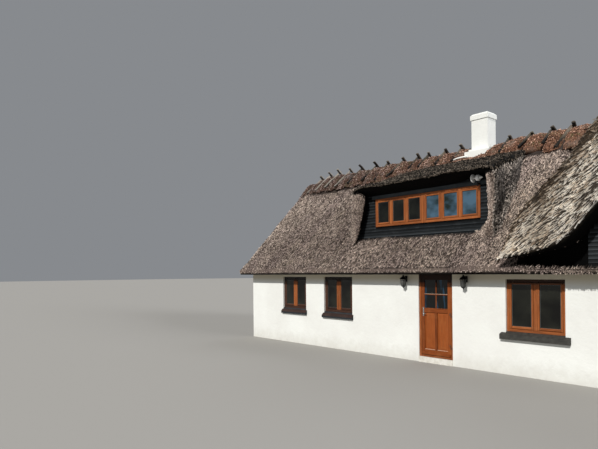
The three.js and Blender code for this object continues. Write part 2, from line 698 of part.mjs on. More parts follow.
// A wall lantern: back plate, arm and a tapered glazed body under a round cap.
function lanternUnit(x) {
  const face = lantern.y - touch;
  const { out, top, plateHalf, armHalf } = lantern;
  const plate = box(
    x - plateHalf, x + plateHalf, face - lantern.plateThick, face, top - lantern.plateBottom,
    top - lantern.plateTop);
  const arm = box(
    x - armHalf, x + armHalf, face - out, face - 1, top - lantern.armBottom, top - lantern.armTop);
  const profile = lantern.profile.map(([r, z]) => new THREE.Vector2(r, z));
  const body = new THREE.LatheGeometry(profile, lantern.sides)
    .rotateX(Math.PI / 2).translate(x, face - out, top);
  return join(plate, arm, body);
}

// A small floodlight on a bracket: a disc to the left of a round body with a blunt cone.
function spotUnit() {
  const { x, y, z, bracketHalf, postHalf } = spot;
  const bracket = box(
    x - bracketHalf, x + bracketHalf, y, wideDormer.boardsY - touch, z - spot.bracketBottom,
    z - spot.bracketTop);
  const post = box(x - postHalf, x + postHalf, y, y + 2 * postHalf, z - spot.postBottom, z);
  const profile = spot.profile.map(([r, height]) => new THREE.Vector2(r, height));
  const shell = new THREE.LatheGeometry(profile, roundSides)
    .rotateZ(Math.PI / 2).translate(x, y + postHalf, z);
  return join(bracket, post, shell);
}

function addLamps() {
  add('wall_lantern_left', lanternUnit(doorCentre - lantern.offset), blackMetal);
  add('wall_lantern_right', lanternUnit(doorCentre + lantern.offset), blackMetal);
  add('dormer_lamp', spotUnit(), whitePaint);
}

addFloors();
addFrontWalls();
addBackWall();
addGableWalls();
addMasonryWindows();
addMainThatch();
addRidge();
addWideDormer();
addGableDormer();
addChimney();
addDoor();
addLamps();

export default house;
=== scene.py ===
"""The finish of a thatched cottage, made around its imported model.

Places are in metres. House coordinates put the ridge over y = 0 and the front towards -Y; every piece
is moved by RIDGE_Y into the frame when its mesh is made.
"""

import math

import bmesh
import bpy
import numpy as np
from mathutils import Matrix, Vector


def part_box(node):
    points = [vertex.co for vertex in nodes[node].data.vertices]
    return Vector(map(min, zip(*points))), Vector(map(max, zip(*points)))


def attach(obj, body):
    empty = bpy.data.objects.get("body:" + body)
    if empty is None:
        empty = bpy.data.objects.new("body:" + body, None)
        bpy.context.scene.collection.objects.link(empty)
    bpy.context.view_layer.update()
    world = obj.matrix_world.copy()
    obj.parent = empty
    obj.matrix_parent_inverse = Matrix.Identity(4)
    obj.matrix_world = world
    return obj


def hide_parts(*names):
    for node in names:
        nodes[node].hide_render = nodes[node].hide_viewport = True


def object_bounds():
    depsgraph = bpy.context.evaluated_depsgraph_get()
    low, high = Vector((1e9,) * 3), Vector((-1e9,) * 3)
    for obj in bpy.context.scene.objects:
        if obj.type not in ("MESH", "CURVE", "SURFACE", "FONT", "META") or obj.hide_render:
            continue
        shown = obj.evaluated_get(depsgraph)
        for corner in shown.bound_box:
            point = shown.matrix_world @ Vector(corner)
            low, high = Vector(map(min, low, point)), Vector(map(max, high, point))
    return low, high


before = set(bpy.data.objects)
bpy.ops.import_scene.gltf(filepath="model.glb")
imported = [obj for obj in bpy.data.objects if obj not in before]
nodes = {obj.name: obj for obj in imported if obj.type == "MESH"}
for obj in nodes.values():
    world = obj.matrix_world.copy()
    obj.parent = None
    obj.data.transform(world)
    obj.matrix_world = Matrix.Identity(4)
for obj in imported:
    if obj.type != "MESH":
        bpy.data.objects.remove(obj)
cad_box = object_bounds()

ridge_low, ridge_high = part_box("heather_ridge")
RIDGE_Y = (ridge_low.y + ridge_high.y) / 2
C45 = math.sqrt(0.5)

# Roof, as planes z = RISE - |y|
RISE = 5.75
INNER_RISE = 5.19
VERGE = ridge_high.x - 0.03
LIP_Y = 3.535
SOFFIT_Z = 2.142
WALL_Y = 3.1
GABLE_WALL_X = 9.05
EAVE_UNDER = [(3.525, 2.175), (3.49, 2.10), (3.36, 2.095), (3.28, SOFFIT_Z), (3.04, SOFFIT_Z)]
SLOPE_TOP_Y = 0.45
VERGE_RADIUS = 0.07
LIP_TIP = 0.8

# Wide dormer: round its opening, from the left foot over the lid to the right foot, the outer edge, the
# inner edge of its thatch and the (x, z) place where the reveal meets the boards
DORMER_SILL_Z = 3.055
DORMER_BACK_Y = -0.45
DORMER_MIDDLE_X = -2.45
DORMER_FLANKS = (-4.66, -0.30)
BOARDS_Y = -2.66
DORMER_FRAMES = (-3.94, -0.837, 3.375, 4.12)
DORMER_FRAMES_Y = -2.67
LID_Y = -3.1
LID_Z = 4.44
LID_PITCH = 0.308
FACE_STEPS = 9
DORMER_RIM = [
    ((-5.12, -2.80, 2.62), (-4.78, -2.88, 2.70), (-4.94, 2.72)),
    ((-5.05, -2.74, 2.82), (-4.66, -2.86, 2.88), (-4.86, 2.90)),
    ((-4.93, -2.80, 3.05), (-4.48, -2.90, 3.06), (-4.74, 3.06)),
    ((-4.80, -2.87, 3.32), (-4.32, -2.93, 3.30), (-4.50, 3.31)),
    ((-4.69, -2.87, 3.64), (-4.25, -2.93, 3.58), (-4.31, 3.58)),
    ((-4.62, -2.87, 3.98), (-4.15, -2.93, 3.90), (-4.25, 3.88)),
    ((-4.57, -2.88, 4.22), (-4.09, -2.94, 4.18), (-4.22, 4.17)),
    ((-4.50, -2.94, 4.34), (-4.16, -2.97, 4.25), (-4.22, 4.20)),
    ((-4.37, -3.03, 4.40), (-4.32, -3.04, 4.36), (-4.21, 4.215)),
    ((-4.16, -3.09, 4.43), (-4.16, -3.08, 4.39), (-4.13, 4.22)),
    ((-3.72, -3.10, 4.45), (-3.72, -3.09, 4.405), (-3.72, 4.225)),
    ((-3.20, -3.10, 4.42), (-3.20, -3.09, 4.375), (-3.20, 4.225)),
    ((-2.50, -3.10, 4.445), (-2.50, -3.09, 4.40), (-2.50, 4.23)),
    ((-1.70, -3.10, 4.46), (-1.70, -3.09, 4.41), (-1.70, 4.23)),
    ((-1.25, -3.10, 4.465), (-1.25, -3.09, 4.415), (-1.25, 4.26)),
    ((-0.90, -3.10, 4.47), (-0.92, -3.09, 4.42), (-0.90, 4.345)),
    ((-0.50, -3.09, 4.455), (-0.58, -3.07, 4.39), (-0.54, 4.28)),
    ((-0.34, -3.05, 4.41), (-0.515, -3.02, 4.32), (-0.47, 4.18)),
    ((-0.285, -3.00, 4.22), (-0.505, -2.96, 4.14), (-0.46, 4.06)),
    ((-0.285, -2.99, 3.78), (-0.49, -2.95, 3.76), (-0.45, 3.76)),
    ((-0.31, -2.98, 3.38), (-0.475, -2.95, 3.38), (-0.46, 3.38)),
    ((-0.34, -2.91, 3.20), (-0.57, -2.92, 3.22), (-0.60, 3.20)),
    ((-0.38, -2.82, 3.03), (-0.70, -2.88, 3.10), (-0.74, 3.08)),
    ((-0.44, -2.77, 2.90), (-0.75, -2.82, 2.95), (-0.80, 2.94)),
    ((-0.50, -2.88, 2.72), (-0.80, -2.92, 2.74), (-0.86, 2.74)),
]

# Gable dormer: the left half of its hood from the foot to the crown, and its window
HOOD_X = 3.2
HOOD_OUTER = [
    (0.14, 2.455), (0.352, 2.968), (0.687, 3.476), (0.941, 3.703), (1.327, 4.079), (1.723, 4.536),
    (1.957, 4.80), (2.33, 5.10), (2.75, 5.28), (3.2, 5.335),
]
HOOD_UNDER = [
    (0.17, 2.425), (0.59, 2.48), (0.99, 2.57), (1.31, 2.68), (1.46, 2.80), (1.60, 2.92), (1.78, 3.12),
    (2.02, 3.40), (2.6, 4.02), (3.2, 4.65),
]
HOOD_ARRIS_Y = -3.65
HOOD_LOWER_Y = -3.77
STEM_PITCH = math.radians(34)
GABLE_OPENING = (2.62, 3.78, 2.98, 3.83)
GABLE_FRAMES_Y = -3.12

# Heather ridge: its round section, its edge, and the logs that cross over it and press it in
RIDGE_RADIUS = 0.64
RIDGE_CENTRE_Z = 5.0
RIDGE_EDGE_Y = 0.83
RIDGE_EDGE_Z = 5.008
RIDGE_FOOT_Y = 0.74
RIDGE_BED = [(-0.45, 5.30), (-0.31, 5.30), (-0.31, 4.87), (0, 5.18), (0.31, 4.87), (0.31, 5.30), (0.45, 5.30)]
LOG_X = [
    -8.84, -8.41, -7.93, -7.39, -6.84, -6.19, -5.69, -5.05, -4.47, -4.09, -3.48, -2.94,
    -1.5, -0.9, -0.36, 0.13,
]
LOG_SPACING = 0.56
LOG_PITCH = math.radians(37.5)
LOG_CROSSING_Z = 5.70
LOG_SHIFT = 0.04
LOG_REACH = 0.78
PALE_LOGS_TO_X = -7.0

# Masonry collar round the chimney's foot, which parts the ridge
COLLAR_X = (-2.60, -1.92)
COLLAR_Y = 0.41

# Camera: the photograph's place, worked out from the house's own edges
CAMERA_PLACE = (5.45, -13.38, 2.209)
CAMERA_YAW = math.radians(49.33)
CAMERA_PITCH = math.radians(0.08)
CAMERA_ROLL = math.radians(-0.57)
PHOTO_WIDTH = 598
FOCAL_PIXELS = 522.3
SHIFT_PIXELS = 45.6


# Shapes

def even(line, count):
    """The line with its points moved to equal distances."""
    steps = np.linalg.norm(np.diff(line, axis=0), axis=1)
    along = np.concatenate([[0], np.cumsum(steps)])
    wanted = np.linspace(0, along[-1], count)
    return np.stack([np.interp(wanted, along, line[:, i]) for i in range(line.shape[1])], axis=1)


def smooth_line(points, count):
    """A Catmull-Rom curve through the points."""
    p = np.array(points, float)
    p = np.vstack([2 * p[0] - p[1], p, 2 * p[-1] - p[-2]])
    t = np.linspace(0, 1, 12, endpoint=False)[:, None]
    parts = []
    for a, b, c, d in zip(p, p[1:], p[2:], p[3:]):
        bend = (2 * a - 5 * b + 4 * c - d) * t**2 + (3 * b - a - 3 * c + d) * t**3
        parts.append((2 * b + (c - a) * t + bend) / 2)
    return even(np.vstack(parts + [p[-2:-1]]), count)


def waves(points, size, seed):
    """A smooth uneven field between about -1 and 1, with swells of that size."""
    rng = np.random.default_rng(seed)
    number = 12
    total = np.zeros(points.shape[:-1])
    for _ in range(number):
        direction = rng.normal(size=3)
        direction *= 2 * math.pi / (np.linalg.norm(direction) * size * rng.uniform(0.7, 1.6))
        total += np.sin(points @ direction + rng.uniform(0, 2 * math.pi))
    return total / math.sqrt(number)


def unit(vectors):
    return vectors / np.maximum(np.linalg.norm(vectors, axis=-1, keepdims=True), 1e-9)


class Shape:
    """Points and faces in house coordinates, with what the materials read at each point."""

    def __init__(self):
        self.points, self.faces, self.grain, self.tint, self.tip = [], [], [], [], []
        self.count = 0

    def add(self, points, faces, grain=None, tint=0.5, tip=0.0):
        points = np.asarray(points, float).reshape(-1, 3)
        number = len(points)
        self.points.append(points)
        if isinstance(faces, np.ndarray):
            self.faces.extend((faces + self.count).tolist())
        else:
            self.faces.extend(tuple(i + self.count for i in face) for face in faces)
        self.grain.append(points if grain is None else np.asarray(grain, float).reshape(-1, 3))
        self.tint.append(np.broadcast_to(np.asarray(tint, float), (number,)))
        self.tip.append(np.broadcast_to(np.asarray(tip, float), (number,)))
        self.count += number
        return self

    def piece(self, name, surface, slot, replaced=(), body="house", tidy=True, smooth=False):
        """Makes the object, trimmed to the model's box, puts it on the body that it rides on, gives it its
        material and hides the model's parts that it stands for. slot is not used."""
        mesh = bpy.data.meshes.new(name)
        points = np.clip(np.vstack(self.points) + (0, RIDGE_Y, 0), cad_box[0], cad_box[1])
        mesh.from_pydata(points.tolist(), [], self.faces)
        for key, kind, rows, field in (
            ("grain", "FLOAT_VECTOR", self.grain, "vector"),
            ("tint", "FLOAT", self.tint, "value"),
            ("tip", "FLOAT", self.tip, "value"),
        ):
            made = mesh.attributes.new(key, kind, "POINT")
            made.data.foreach_set(field, np.concatenate(rows).astype(np.float32).ravel())
        if tidy:
            work = bmesh.new()
            work.from_mesh(mesh)
            bmesh.ops.recalc_face_normals(work, faces=work.faces)
            work.to_mesh(mesh)
            work.free()
        if smooth:
            mesh.shade_smooth()
        mesh.materials.append(surface)
        obj = bpy.data.objects.new(name, mesh)
        bpy.context.scene.collection.objects.link(obj)
        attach(obj, body)
        if replaced:
            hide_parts(*replaced)
        return obj


def grid_faces(rows, columns, closed):
    """Quads of a grid of points, row by row; closed joins the last column to the first."""
    across = columns if closed else columns - 1
    row, column = np.meshgrid(np.arange(rows - 1), np.arange(across), indexing="ij")
    beside = (column + 1) % columns
    return np.stack([
        row * columns + column, row * columns + beside,
        (row + 1) * columns + beside, (row + 1) * columns + column], axis=-1).reshape(-1, 4)


def loft(shape, rings, grain=None, tint=0.5, tip=0.0):
    """A closed body from rings of points, capped at both ends."""
    rows, columns = rings.shape[:2]
    faces = [tuple(face) for face in grid_faces(rows, columns, True)]
    faces.append(tuple(range(columns)))
    faces.append(tuple(range((rows - 1) * columns, rows * columns)))
    return shape.add(rings, faces, grain, tint, tip)


def box_faces():
    """Faces of a box with chamfered edges, whose corner c has the points 3c, 3c + 1 and 3c + 2."""
    signs = [(x, y, z) for x in (-1, 1) for y in (-1, 1) for z in (-1, 1)]
    inset = np.array([[[s if i == axis else s * 0.8 for i, s in enumerate(corner)] for axis in range(3)]
                      for corner in signs], float).reshape(-1, 3)
    faces = []
    for axis in range(3):
        for sign in (-1, 1):
            side = [c for c, corner in enumerate(signs) if corner[axis] == sign]
            faces.append([3 * c + axis for c in (side[0], side[1], side[3], side[2])])
    for first in range(8):
        faces.append([3 * first, 3 * first + 1, 3 * first + 2])
        for axis in range(3):
            second = first | (4 >> axis)
            if second != first:
                a, b = [i for i in range(3) if i != axis]
                faces.append([3 * first + a, 3 * second + a, 3 * second + b, 3 * first + b])
    turned = []
    for face in faces:
        corners = inset[face]
        normal = np.cross(corners[1] - corners[0], corners[2] - corners[0])
        turned.append(face if normal @ corners.mean(0) > 0 else face[::-1])
    return signs, turned


BOX_SIGNS, BOX_FACES = box_faces()


def beam(shape, low, high, along, chamfer=0.004, rng=None, tint=None):
    """A box between two corners with chamfered edges, and its grain along one axis."""
    low, high = np.minimum(low, high), np.maximum(low, high)
    middle, half = (low + high) / 2, (high - low) / 2
    chamfer = min(chamfer, 0.45 * half.min())
    local = np.array([
        [s * (half[i] - (0 if i == axis else chamfer)) for i, s in enumerate(corner)]
        for corner in BOX_SIGNS for axis in range(3)])
    offset = middle if rng is None else rng.uniform(0, 50, 3)
    across = [i for i in range(3) if i != along]
    if tint is None:
        tint = 0.5 if rng is None else rng.random()
    return shape.add(local + middle, BOX_FACES, local[:, [across[0], along, across[1]]] + offset, tint)


def lathe(shape, profile, centre, sides, turn=None):
    """A closed turned body from (radius, height) pairs that start and end on the axis."""
    angle = np.linspace(0, 2 * math.pi, sides, endpoint=False)
    rings = [(r * math.cos(a), r * math.sin(a), z) for r, z in profile[1:-1] for a in angle]
    points = np.array(rings + [(0, 0, profile[0][1]), (0, 0, profile[-1][1])])
    rows = len(profile) - 2
    faces = [tuple(face) for face in grid_faces(rows, sides, True)]
    first, last = rows * sides, rows * sides + 1
    faces += [(first, (i + 1) % sides, i) for i in range(sides)]
    faces += [(last, first - sides + i, first - sides + (i + 1) % sides) for i in range(sides)]
    if turn is not None:
        points = points @ np.array(turn).T
    return shape.add(points + centre, faces)


def tube(shape, path, radius, sides):
    """A round bar along a path, with flat ends."""
    path = np.array(path, float)
    way = unit(np.gradient(path, axis=0))
    one = unit(np.cross(way, (0.3, 0.5, 0.81)))
    two = np.cross(way, one)
    angle = np.linspace(0, 2 * math.pi, sides, endpoint=False)[:, None]
    return loft(shape, path[:, None] + radius * (np.cos(angle) * one[:, None] + np.sin(angle) * two[:, None]))


def scatter(grid, count, rng, outwards, keep=None):
    """Random places on a grid of points, even over its area, and the surface normals there, turned the way
    that outwards gives."""
    a, b, c, d = grid[:-1, :-1], grid[1:, :-1], grid[1:, 1:], grid[:-1, 1:]
    normal = np.cross(c - a, d - b)
    weight = np.linalg.norm(normal, axis=-1)
    if keep is not None:
        weight = weight * keep((a + b + c + d) / 4)
    chosen = rng.choice(weight.size, count, p=(weight / weight.sum()).ravel())
    u, v = rng.random((2, count, 1))
    a, b, c, d = (side.reshape(-1, 3)[chosen] for side in (a, b, c, d))
    points = (a * (1 - u) + b * u) * (1 - v) + (d * (1 - u) + c * u) * v
    normals = unit(normal.reshape(-1, 3)[chosen])
    return points, normals * np.sign(np.sum(normals * outwards(points), axis=1, keepdims=True))


def upwards(points):
    """The way out of the upper side of a slope."""
    return 0, 0, 1


def slivers(shape, roots, normals, flow, sizes, rng, spread=0.25, sink=0.01, bright=0.0, apex_tip=0.0):
    """Reed tufts: thin closed points that start under the surface and end in a raised butt. sizes are their
    length, width and lift, as values or as limits."""
    number = len(roots)
    length, width, lift = (
        size if isinstance(size, np.ndarray) else rng.uniform(*size, (number, 1)) for size in sizes)
    side = unit(np.cross(flow, normals))
    turned = flow + side * rng.normal(0, spread, (number, 1))
    flow = unit(turned + normals * rng.normal(0, spread / 4, (number, 1)))
    side = unit(np.cross(flow, normals))
    butt = roots + flow * length / 2
    points = np.stack([
        roots - flow * length / 2 - normals * sink, butt + side * width / 2 - normals * sink / 2,
        butt - side * width / 2 - normals * sink / 2, butt + normals * lift], axis=1)
    start = 4 * np.arange(number)[:, None]
    faces = np.concatenate([start + face for face in ((0, 3, 1), (0, 2, 3), (0, 1, 2), (1, 3, 2))])
    offset = rng.uniform(0, 60, (number, 1, 3))
    span = np.concatenate([width, length, lift], axis=1)[:, None]
    corner = np.array([(0, -0.5, 0), (0.5, 0.5, 0), (-0.5, 0.5, 0), (0, 0.5, 1)])[None]
    tint = np.repeat(rng.random(number) + bright, 4)
    return shape.add(points, faces, offset + corner * span, tint, np.tile((apex_tip, 1.0, 1.0, 1.0), number))


def along(normals, direction):
    """The direction laid into each surface."""
    direction = np.broadcast_to(np.asarray(direction, float), normals.shape)
    return unit(direction - normals * np.sum(direction * normals, axis=-1, keepdims=True))


# Materials

class Paint:
    """A material with a Principled shader, and short calls for the nodes that feed it."""

    def __init__(self, name, roughness, metallic=0.0, specular=0.5):
        self.material = bpy.data.materials.new(name)
        self.material.use_nodes = True
        self.tree = self.material.node_tree
        self.inputs = self.tree.nodes["Principled BSDF"].inputs
        self.inputs["Roughness"].default_value = roughness
        self.inputs["Metallic"].default_value = metallic
        self.inputs["Specular IOR Level"].default_value = specular

    def node(self, kind, values, out=0, **settings):
        """Adds a node, feeds its inputs by name or number, and gives back one of its outputs."""
        made = self.tree.nodes.new("ShaderNode" + kind)
        for key, value in settings.items():
            setattr(made, key, value)
        for key, value in values.items():
            self.feed(made.inputs[key], value)
        return made.outputs[out]

    def feed(self, socket, value):
        if isinstance(value, bpy.types.NodeSocket):
            self.tree.links.new(value, socket)
        else:
            socket.default_value = (*value, 1.0) if socket.type == "RGBA" and len(value) == 3 else value

    def read(self, name):
        return self.node("Attribute", {}, "Vector" if name == "grain" else "Fac", attribute_name=name)

    def place(self):
        return self.node("TexCoord", {}, "Object")

    def axis(self, vector, name):
        return self.node("SeparateXYZ", {0: vector}, name)

    def noise(self, vector, scale, detail=2.0, roughness=0.55):
        """Noise of one scale, or of one for each axis."""
        if isinstance(scale, tuple):
            vector, scale = self.node("Mapping", {"Vector": vector, "Scale": scale}), 1.0
        values = {"Vector": vector, "Scale": scale, "Detail": detail, "Roughness": roughness}
        return self.node("TexNoise", values, "Fac")

    def range(self, value, low, high, to_low=0.0, to_high=1.0):
        return self.node("MapRange", {0: value, 1: low, 2: high, 3: to_low, 4: to_high})

    def ramp(self, value, *stops):
        made = self.tree.nodes.new("ShaderNodeValToRGB")
        self.feed(made.inputs[0], value)
        line = made.color_ramp
        while len(line.elements) < len(stops):
            line.elements.new(0.5)
        for element, (position, colour) in zip(line.elements, stops):
            element.position = position
            element.color = (*colour, 1.0)
        return made.outputs["Color"]

    def times(self, first, second):
        return self.node("Math", {0: first, 1: second}, operation="MULTIPLY")

    def plus(self, first, second):
        return self.node("Math", {0: first, 1: second}, operation="ADD")

    def tone(self, texture, share):
        """The texture mixed with each member's own tone."""
        return self.plus(self.times(texture, share), self.times(self.read("tint"), 1 - share))

    def mix(self, factor, first, second, blend="MIX"):
        return self.node("Mix", {0: factor, 6: first, 7: second}, 2, data_type="RGBA", blend_type=blend)

    def shade(self, colour, level):
        """The colour times a grey level."""
        grey = self.node("CombineColor", {0: level, 1: level, 2: level})
        return self.mix(1.0, colour, grey, "MULTIPLY")

    def colour(self, value):
        self.feed(self.inputs["Base Color"], value)

    def rough(self, value):
        self.feed(self.inputs["Roughness"], value)

    def bump(self, height, distance, strength=1.0):
        values = {"Height": height, "Distance": distance, "Strength": strength}
        self.feed(self.inputs["Normal"], self.node("Bump", values))


def thatch_paint(name, dark, middle, light, weathered, moss, gap, stops=(0.25, 0.52, 0.80)):
    """Reed ends: each tuft has its own tone, the coat below has painted shade, and weather runs down over
    both.
    """
    paint = Paint(name, 0.9, specular=0.15)
    grain, place = paint.read("grain"), paint.place()
    tone = paint.tone(paint.noise(grain, (75, 9, 25), 3.0, 0.7), 0.5)
    base = paint.ramp(tone, *zip(stops, (dark, middle, light)))
    streak = paint.range(paint.noise(place, (1.5, 0.35, 0.35), 4.0, 0.6), 0.38, 0.60, 0.0, 0.75)
    base = paint.mix(streak, base, paint.mix(1.0, base, weathered, "MULTIPLY"))
    patch = paint.range(paint.noise(place, (4, 1.8, 1.8), 4.0, 0.65), 0.35, 0.65, 0.86, 1.12)
    reach = paint.node("Math", {0: paint.axis(place, "X")}, operation="ABSOLUTE")
    at_verge = paint.range(reach, 8.5, 9.1, 1.0, 1.14)
    high_up = paint.range(paint.axis(place, "Z"), 4.2, 5.0, 1.0, 1.14)
    base = paint.shade(base, paint.times(paint.times(patch, at_verge), high_up))
    green = paint.range(paint.noise(place, 1.7, 4.0, 0.7), 0.60, 0.74)
    base = paint.mix(paint.times(green, 0.25), base, moss)
    shade_by_depth(paint, base, gap)
    paint.bump(paint.noise(grain, (90, 14, 40)), 0.012, 0.7)
    return paint.material


def shade_by_depth(paint, base, gap):
    """Butts are fully lit, the coat between them is darker, and hidden undersides are nearly black."""
    tip = paint.read("tip")
    coat, hidden = paint.range(tip, 0.0, 1.0, gap, 1.0), paint.range(tip, -1.0, 0.0, 0.04, 1.0)
    paint.colour(paint.shade(base, paint.times(coat, hidden)))


def heather_paint():
    """Packed heather: mottled red-brown with lichen and pale patches, greyer towards the left end, with
    painted shade on its coat and in its grooves.
    """
    paint = Paint("heather", 0.95, specular=0.1)
    place = paint.place()
    tone = paint.tone(paint.noise(place, 24, 4.0, 0.75), 0.6)
    base = paint.ramp(
        tone, (0.35, (0.020, 0.010, 0.007)), (0.48, (0.40, 0.20, 0.125)), (0.64, (1.0, 0.66, 0.50)))
    lichen = paint.range(paint.noise(place, 5.0, 4.0, 0.75), 0.56, 0.66)
    base = paint.mix(paint.times(lichen, 0.55), base, (0.21, 0.20, 0.09))
    pale = paint.range(paint.noise(place, 2.3, 3.0, 0.6), 0.55, 0.68)
    base = paint.mix(paint.times(pale, 0.4), base, (0.42, 0.34, 0.28))
    across = paint.range(paint.axis(place, "X"), -7.5, -0.5)
    aged = paint.ramp(across, (0.0, (0.54, 0.66, 0.80)), (1.0, (1.0, 1.0, 1.0)))
    shade_by_depth(paint, paint.mix(1.0, base, aged, "MULTIPLY"), 0.55)
    paint.bump(paint.noise(place, 60, 3.0), 0.02, 0.8)
    return paint.material


def wood_paint(name, dark, light, worn, roughness=0.5, wear=0.3, boards=(70, 3.0, 30), specular=0.4):
    """Stained or painted wood: fine streaks along the grain, each member in its own tone, painted shade under
    the eave and on hidden parts.
    """
    paint = Paint(name, roughness, specular=specular)
    streak = paint.noise(paint.read("grain"), boards, 4.0, 0.6)
    base = paint.ramp(paint.tone(streak, 0.7), (0.25, dark), (0.72, light))
    worn_at = paint.range(paint.noise(paint.place(), 5.0, 5.0, 0.7), 0.52, 0.72)
    base = paint.mix(paint.times(worn_at, wear), base, worn)
    # Painted shadow: wood close under the eave goes nearly black, set by height alone.
    base = paint.mix(paint.times(painted_eave_shade(paint, 1.86, 1.92), 0.93), base, (0.006, 0.004, 0.003))
    shade_by_depth(paint, base, 1.0)
    paint.rough(paint.range(streak, 0.3, 0.7, roughness - 0.08, roughness + 0.15))
    paint.bump(streak, 0.003, 0.5)
    return paint.material


def painted_eave_shade(paint, low, high):
    """Mask of the painted eave shade, set by height alone: 1 close under the eave, above the height high, and
    0 below the height low.
    """
    height = paint.axis(paint.place(), "Z")
    return paint.times(paint.range(height, low, high), paint.range(height, 2.2, 2.4, 1.0, 0.0))


def lime_paint():
    """Lime render: nearly white, slightly stained low down, with warm painted shade close under the eave and
    a hand-brushed uneven face.
    """
    paint = Paint("lime_render", 0.85, specular=0.2)
    place = paint.place()
    base = paint.ramp(
        paint.noise(place, 0.9, 5.0, 0.6), (0.35, (0.79, 0.80, 0.77)), (0.62, (0.85, 0.87, 0.84)))
    height = paint.plus(paint.axis(place, "Z"), paint.times(paint.noise(place, 6.0, 4.0), 0.5))
    base = paint.mix(paint.range(height, 0.16, 0.62, 0.55, 0.0), base, (0.56, 0.55, 0.49))
    # Painted shade: a warm tan close under the eave, set by height alone, so it also crosses the gable walls.
    base = paint.mix(paint.times(painted_eave_shade(paint, 1.84, 2.0), 0.8), base, (0.62, 0.54, 0.38))
    speck = paint.range(paint.noise(place, 28, 4.0, 0.75), 0.66, 0.78)
    paint.colour(paint.mix(paint.times(speck, 0.22), base, (0.50, 0.50, 0.47)))
    brushed = paint.plus(paint.times(paint.noise(place, 1.6, 3.0), 4.0), paint.noise(place, 22, 5.0))
    paint.bump(brushed, 0.012, 0.45)
    return paint.material


def stone_paint(name, dark, light, scale=14, roughness=0.75):
    paint = Paint(name, roughness, specular=0.3)
    place = paint.place()
    paint.colour(paint.ramp(paint.noise(place, scale, 6.0, 0.65), (0.32, dark), (0.68, light)))
    paint.bump(paint.noise(place, scale * 3, 4.0), 0.004, 0.5)
    return paint.material


def metal_paint(name, colour, worn, roughness, metallic):
    paint = Paint(name, roughness, metallic)
    spots = paint.range(paint.noise(paint.place(), 30, 5.0, 0.7), 0.5, 0.72)
    paint.colour(paint.mix(paint.times(spots, 0.5), colour, worn))
    paint.rough(paint.range(spots, 0.0, 1.0, roughness, roughness + 0.25))
    return paint.material


def glass_paint(name, dark, light, size=(1.6, 1.6, 2.1), span=(0.38, 0.66)):
    """Window glass under a sharp gloss, with soft uneven clouds of colour: the depth of a dark room behind
    it, and in the right dormer's panes a painted sky reflection.
    """
    paint = Paint(name, 0.04, specular=0.35)
    cloud = paint.noise(paint.place(), size, 3.0, 0.5)
    paint.colour(paint.ramp(cloud, (span[0], dark), (span[1], light)))
    paint.bump(paint.noise(paint.place(), 2.2, 1.0), 0.004, 0.15)
    return paint.material


reed = thatch_paint(
    "reed", (0.050, 0.038, 0.031), (0.29, 0.228, 0.190), (0.92, 0.78, 0.66), (0.66, 0.63, 0.68),
    (0.17, 0.15, 0.07), gap=0.24, stops=(0.29, 0.52, 0.77))
# Dark reed of the wide dormer's thatch: moss, and painted shade on its lid.
moss_and_shade_reed = thatch_paint(
    "moss_and_shade_reed", (0.003, 0.0025, 0.002), (0.020, 0.016, 0.012), (0.27, 0.225, 0.18), (0.60, 0.57, 0.55),
    (0.026, 0.025, 0.012), gap=0.12, stops=(0.33, 0.55, 0.76))
flank_reed = thatch_paint(
    "flank_reed", (0.028, 0.025, 0.022), (0.225, 0.195, 0.168), (0.62, 0.55, 0.48), (0.66, 0.64, 0.66),
    (0.12, 0.11, 0.06), gap=0.25)
pale_reed = thatch_paint(
    "pale_reed", (0.10, 0.072, 0.050), (0.68, 0.57, 0.46), (1.0, 0.97, 0.91), (0.84, 0.80, 0.75),
    (0.42, 0.36, 0.25), gap=0.13, stops=(0.29, 0.44, 0.60))
# Darker reed for the hood's outer surface: painted shade beside the pale front.
shaded_brown_reed = thatch_paint(
    "shaded_brown_reed", (0.024, 0.018, 0.013), (0.16, 0.125, 0.098), (0.62, 0.53, 0.44), (0.66, 0.62, 0.60),
    (0.08, 0.07, 0.035), gap=0.25)
heather = heather_paint()
log = wood_paint(
    "ridge_log", (0.022, 0.017, 0.013), (0.16, 0.13, 0.10), (0.16, 0.17, 0.09), 0.85, 0.5, (40, 5, 20))
pale_log = wood_paint(
    "pale_log", (0.13, 0.11, 0.09), (0.46, 0.42, 0.37), (0.24, 0.24, 0.17), 0.85, 0.4, (40, 5, 20))
black_board = wood_paint(
    "black_board", (0.010, 0.0125, 0.015), (0.060, 0.069, 0.076), (0.090, 0.098, 0.104), 0.7, 0.35,
    specular=0.08)
stained = wood_paint(
    "stained_wood", (0.12, 0.033, 0.009), (0.40, 0.122, 0.034), (0.34, 0.165, 0.078), 0.5, 0.3, specular=0.22)
casing = wood_paint(
    "casing_wood", (0.022, 0.009, 0.005), (0.095, 0.033, 0.015), (0.08, 0.05, 0.03), 0.5, 0.3)
sill_wood = wood_paint(
    "sill_wood", (0.020, 0.009, 0.007), (0.060, 0.030, 0.023), (0.10, 0.07, 0.06), 0.6, 0.4)
door_wood = wood_paint(
    "door_wood", (0.10, 0.022, 0.005), (0.32, 0.082, 0.017), (0.36, 0.15, 0.05), 0.5, 0.3, specular=0.2)
floor_wood = wood_paint("floor_timber", (0.20, 0.12, 0.06), (0.42, 0.28, 0.16), (0.5, 0.4, 0.3), 0.6)
lime = lime_paint()
slate = stone_paint("slate", (0.026, 0.026, 0.024), (0.064, 0.062, 0.055))
sill_stone = stone_paint("pale_sill", (0.58, 0.56, 0.49), (0.82, 0.81, 0.76), 7)
black_metal = metal_paint("black_metal", (0.012, 0.012, 0.013), (0.04, 0.035, 0.03), 0.4, 0.7)
steel = metal_paint("steel", (0.62, 0.62, 0.60), (0.45, 0.44, 0.42), 0.25, 1.0)
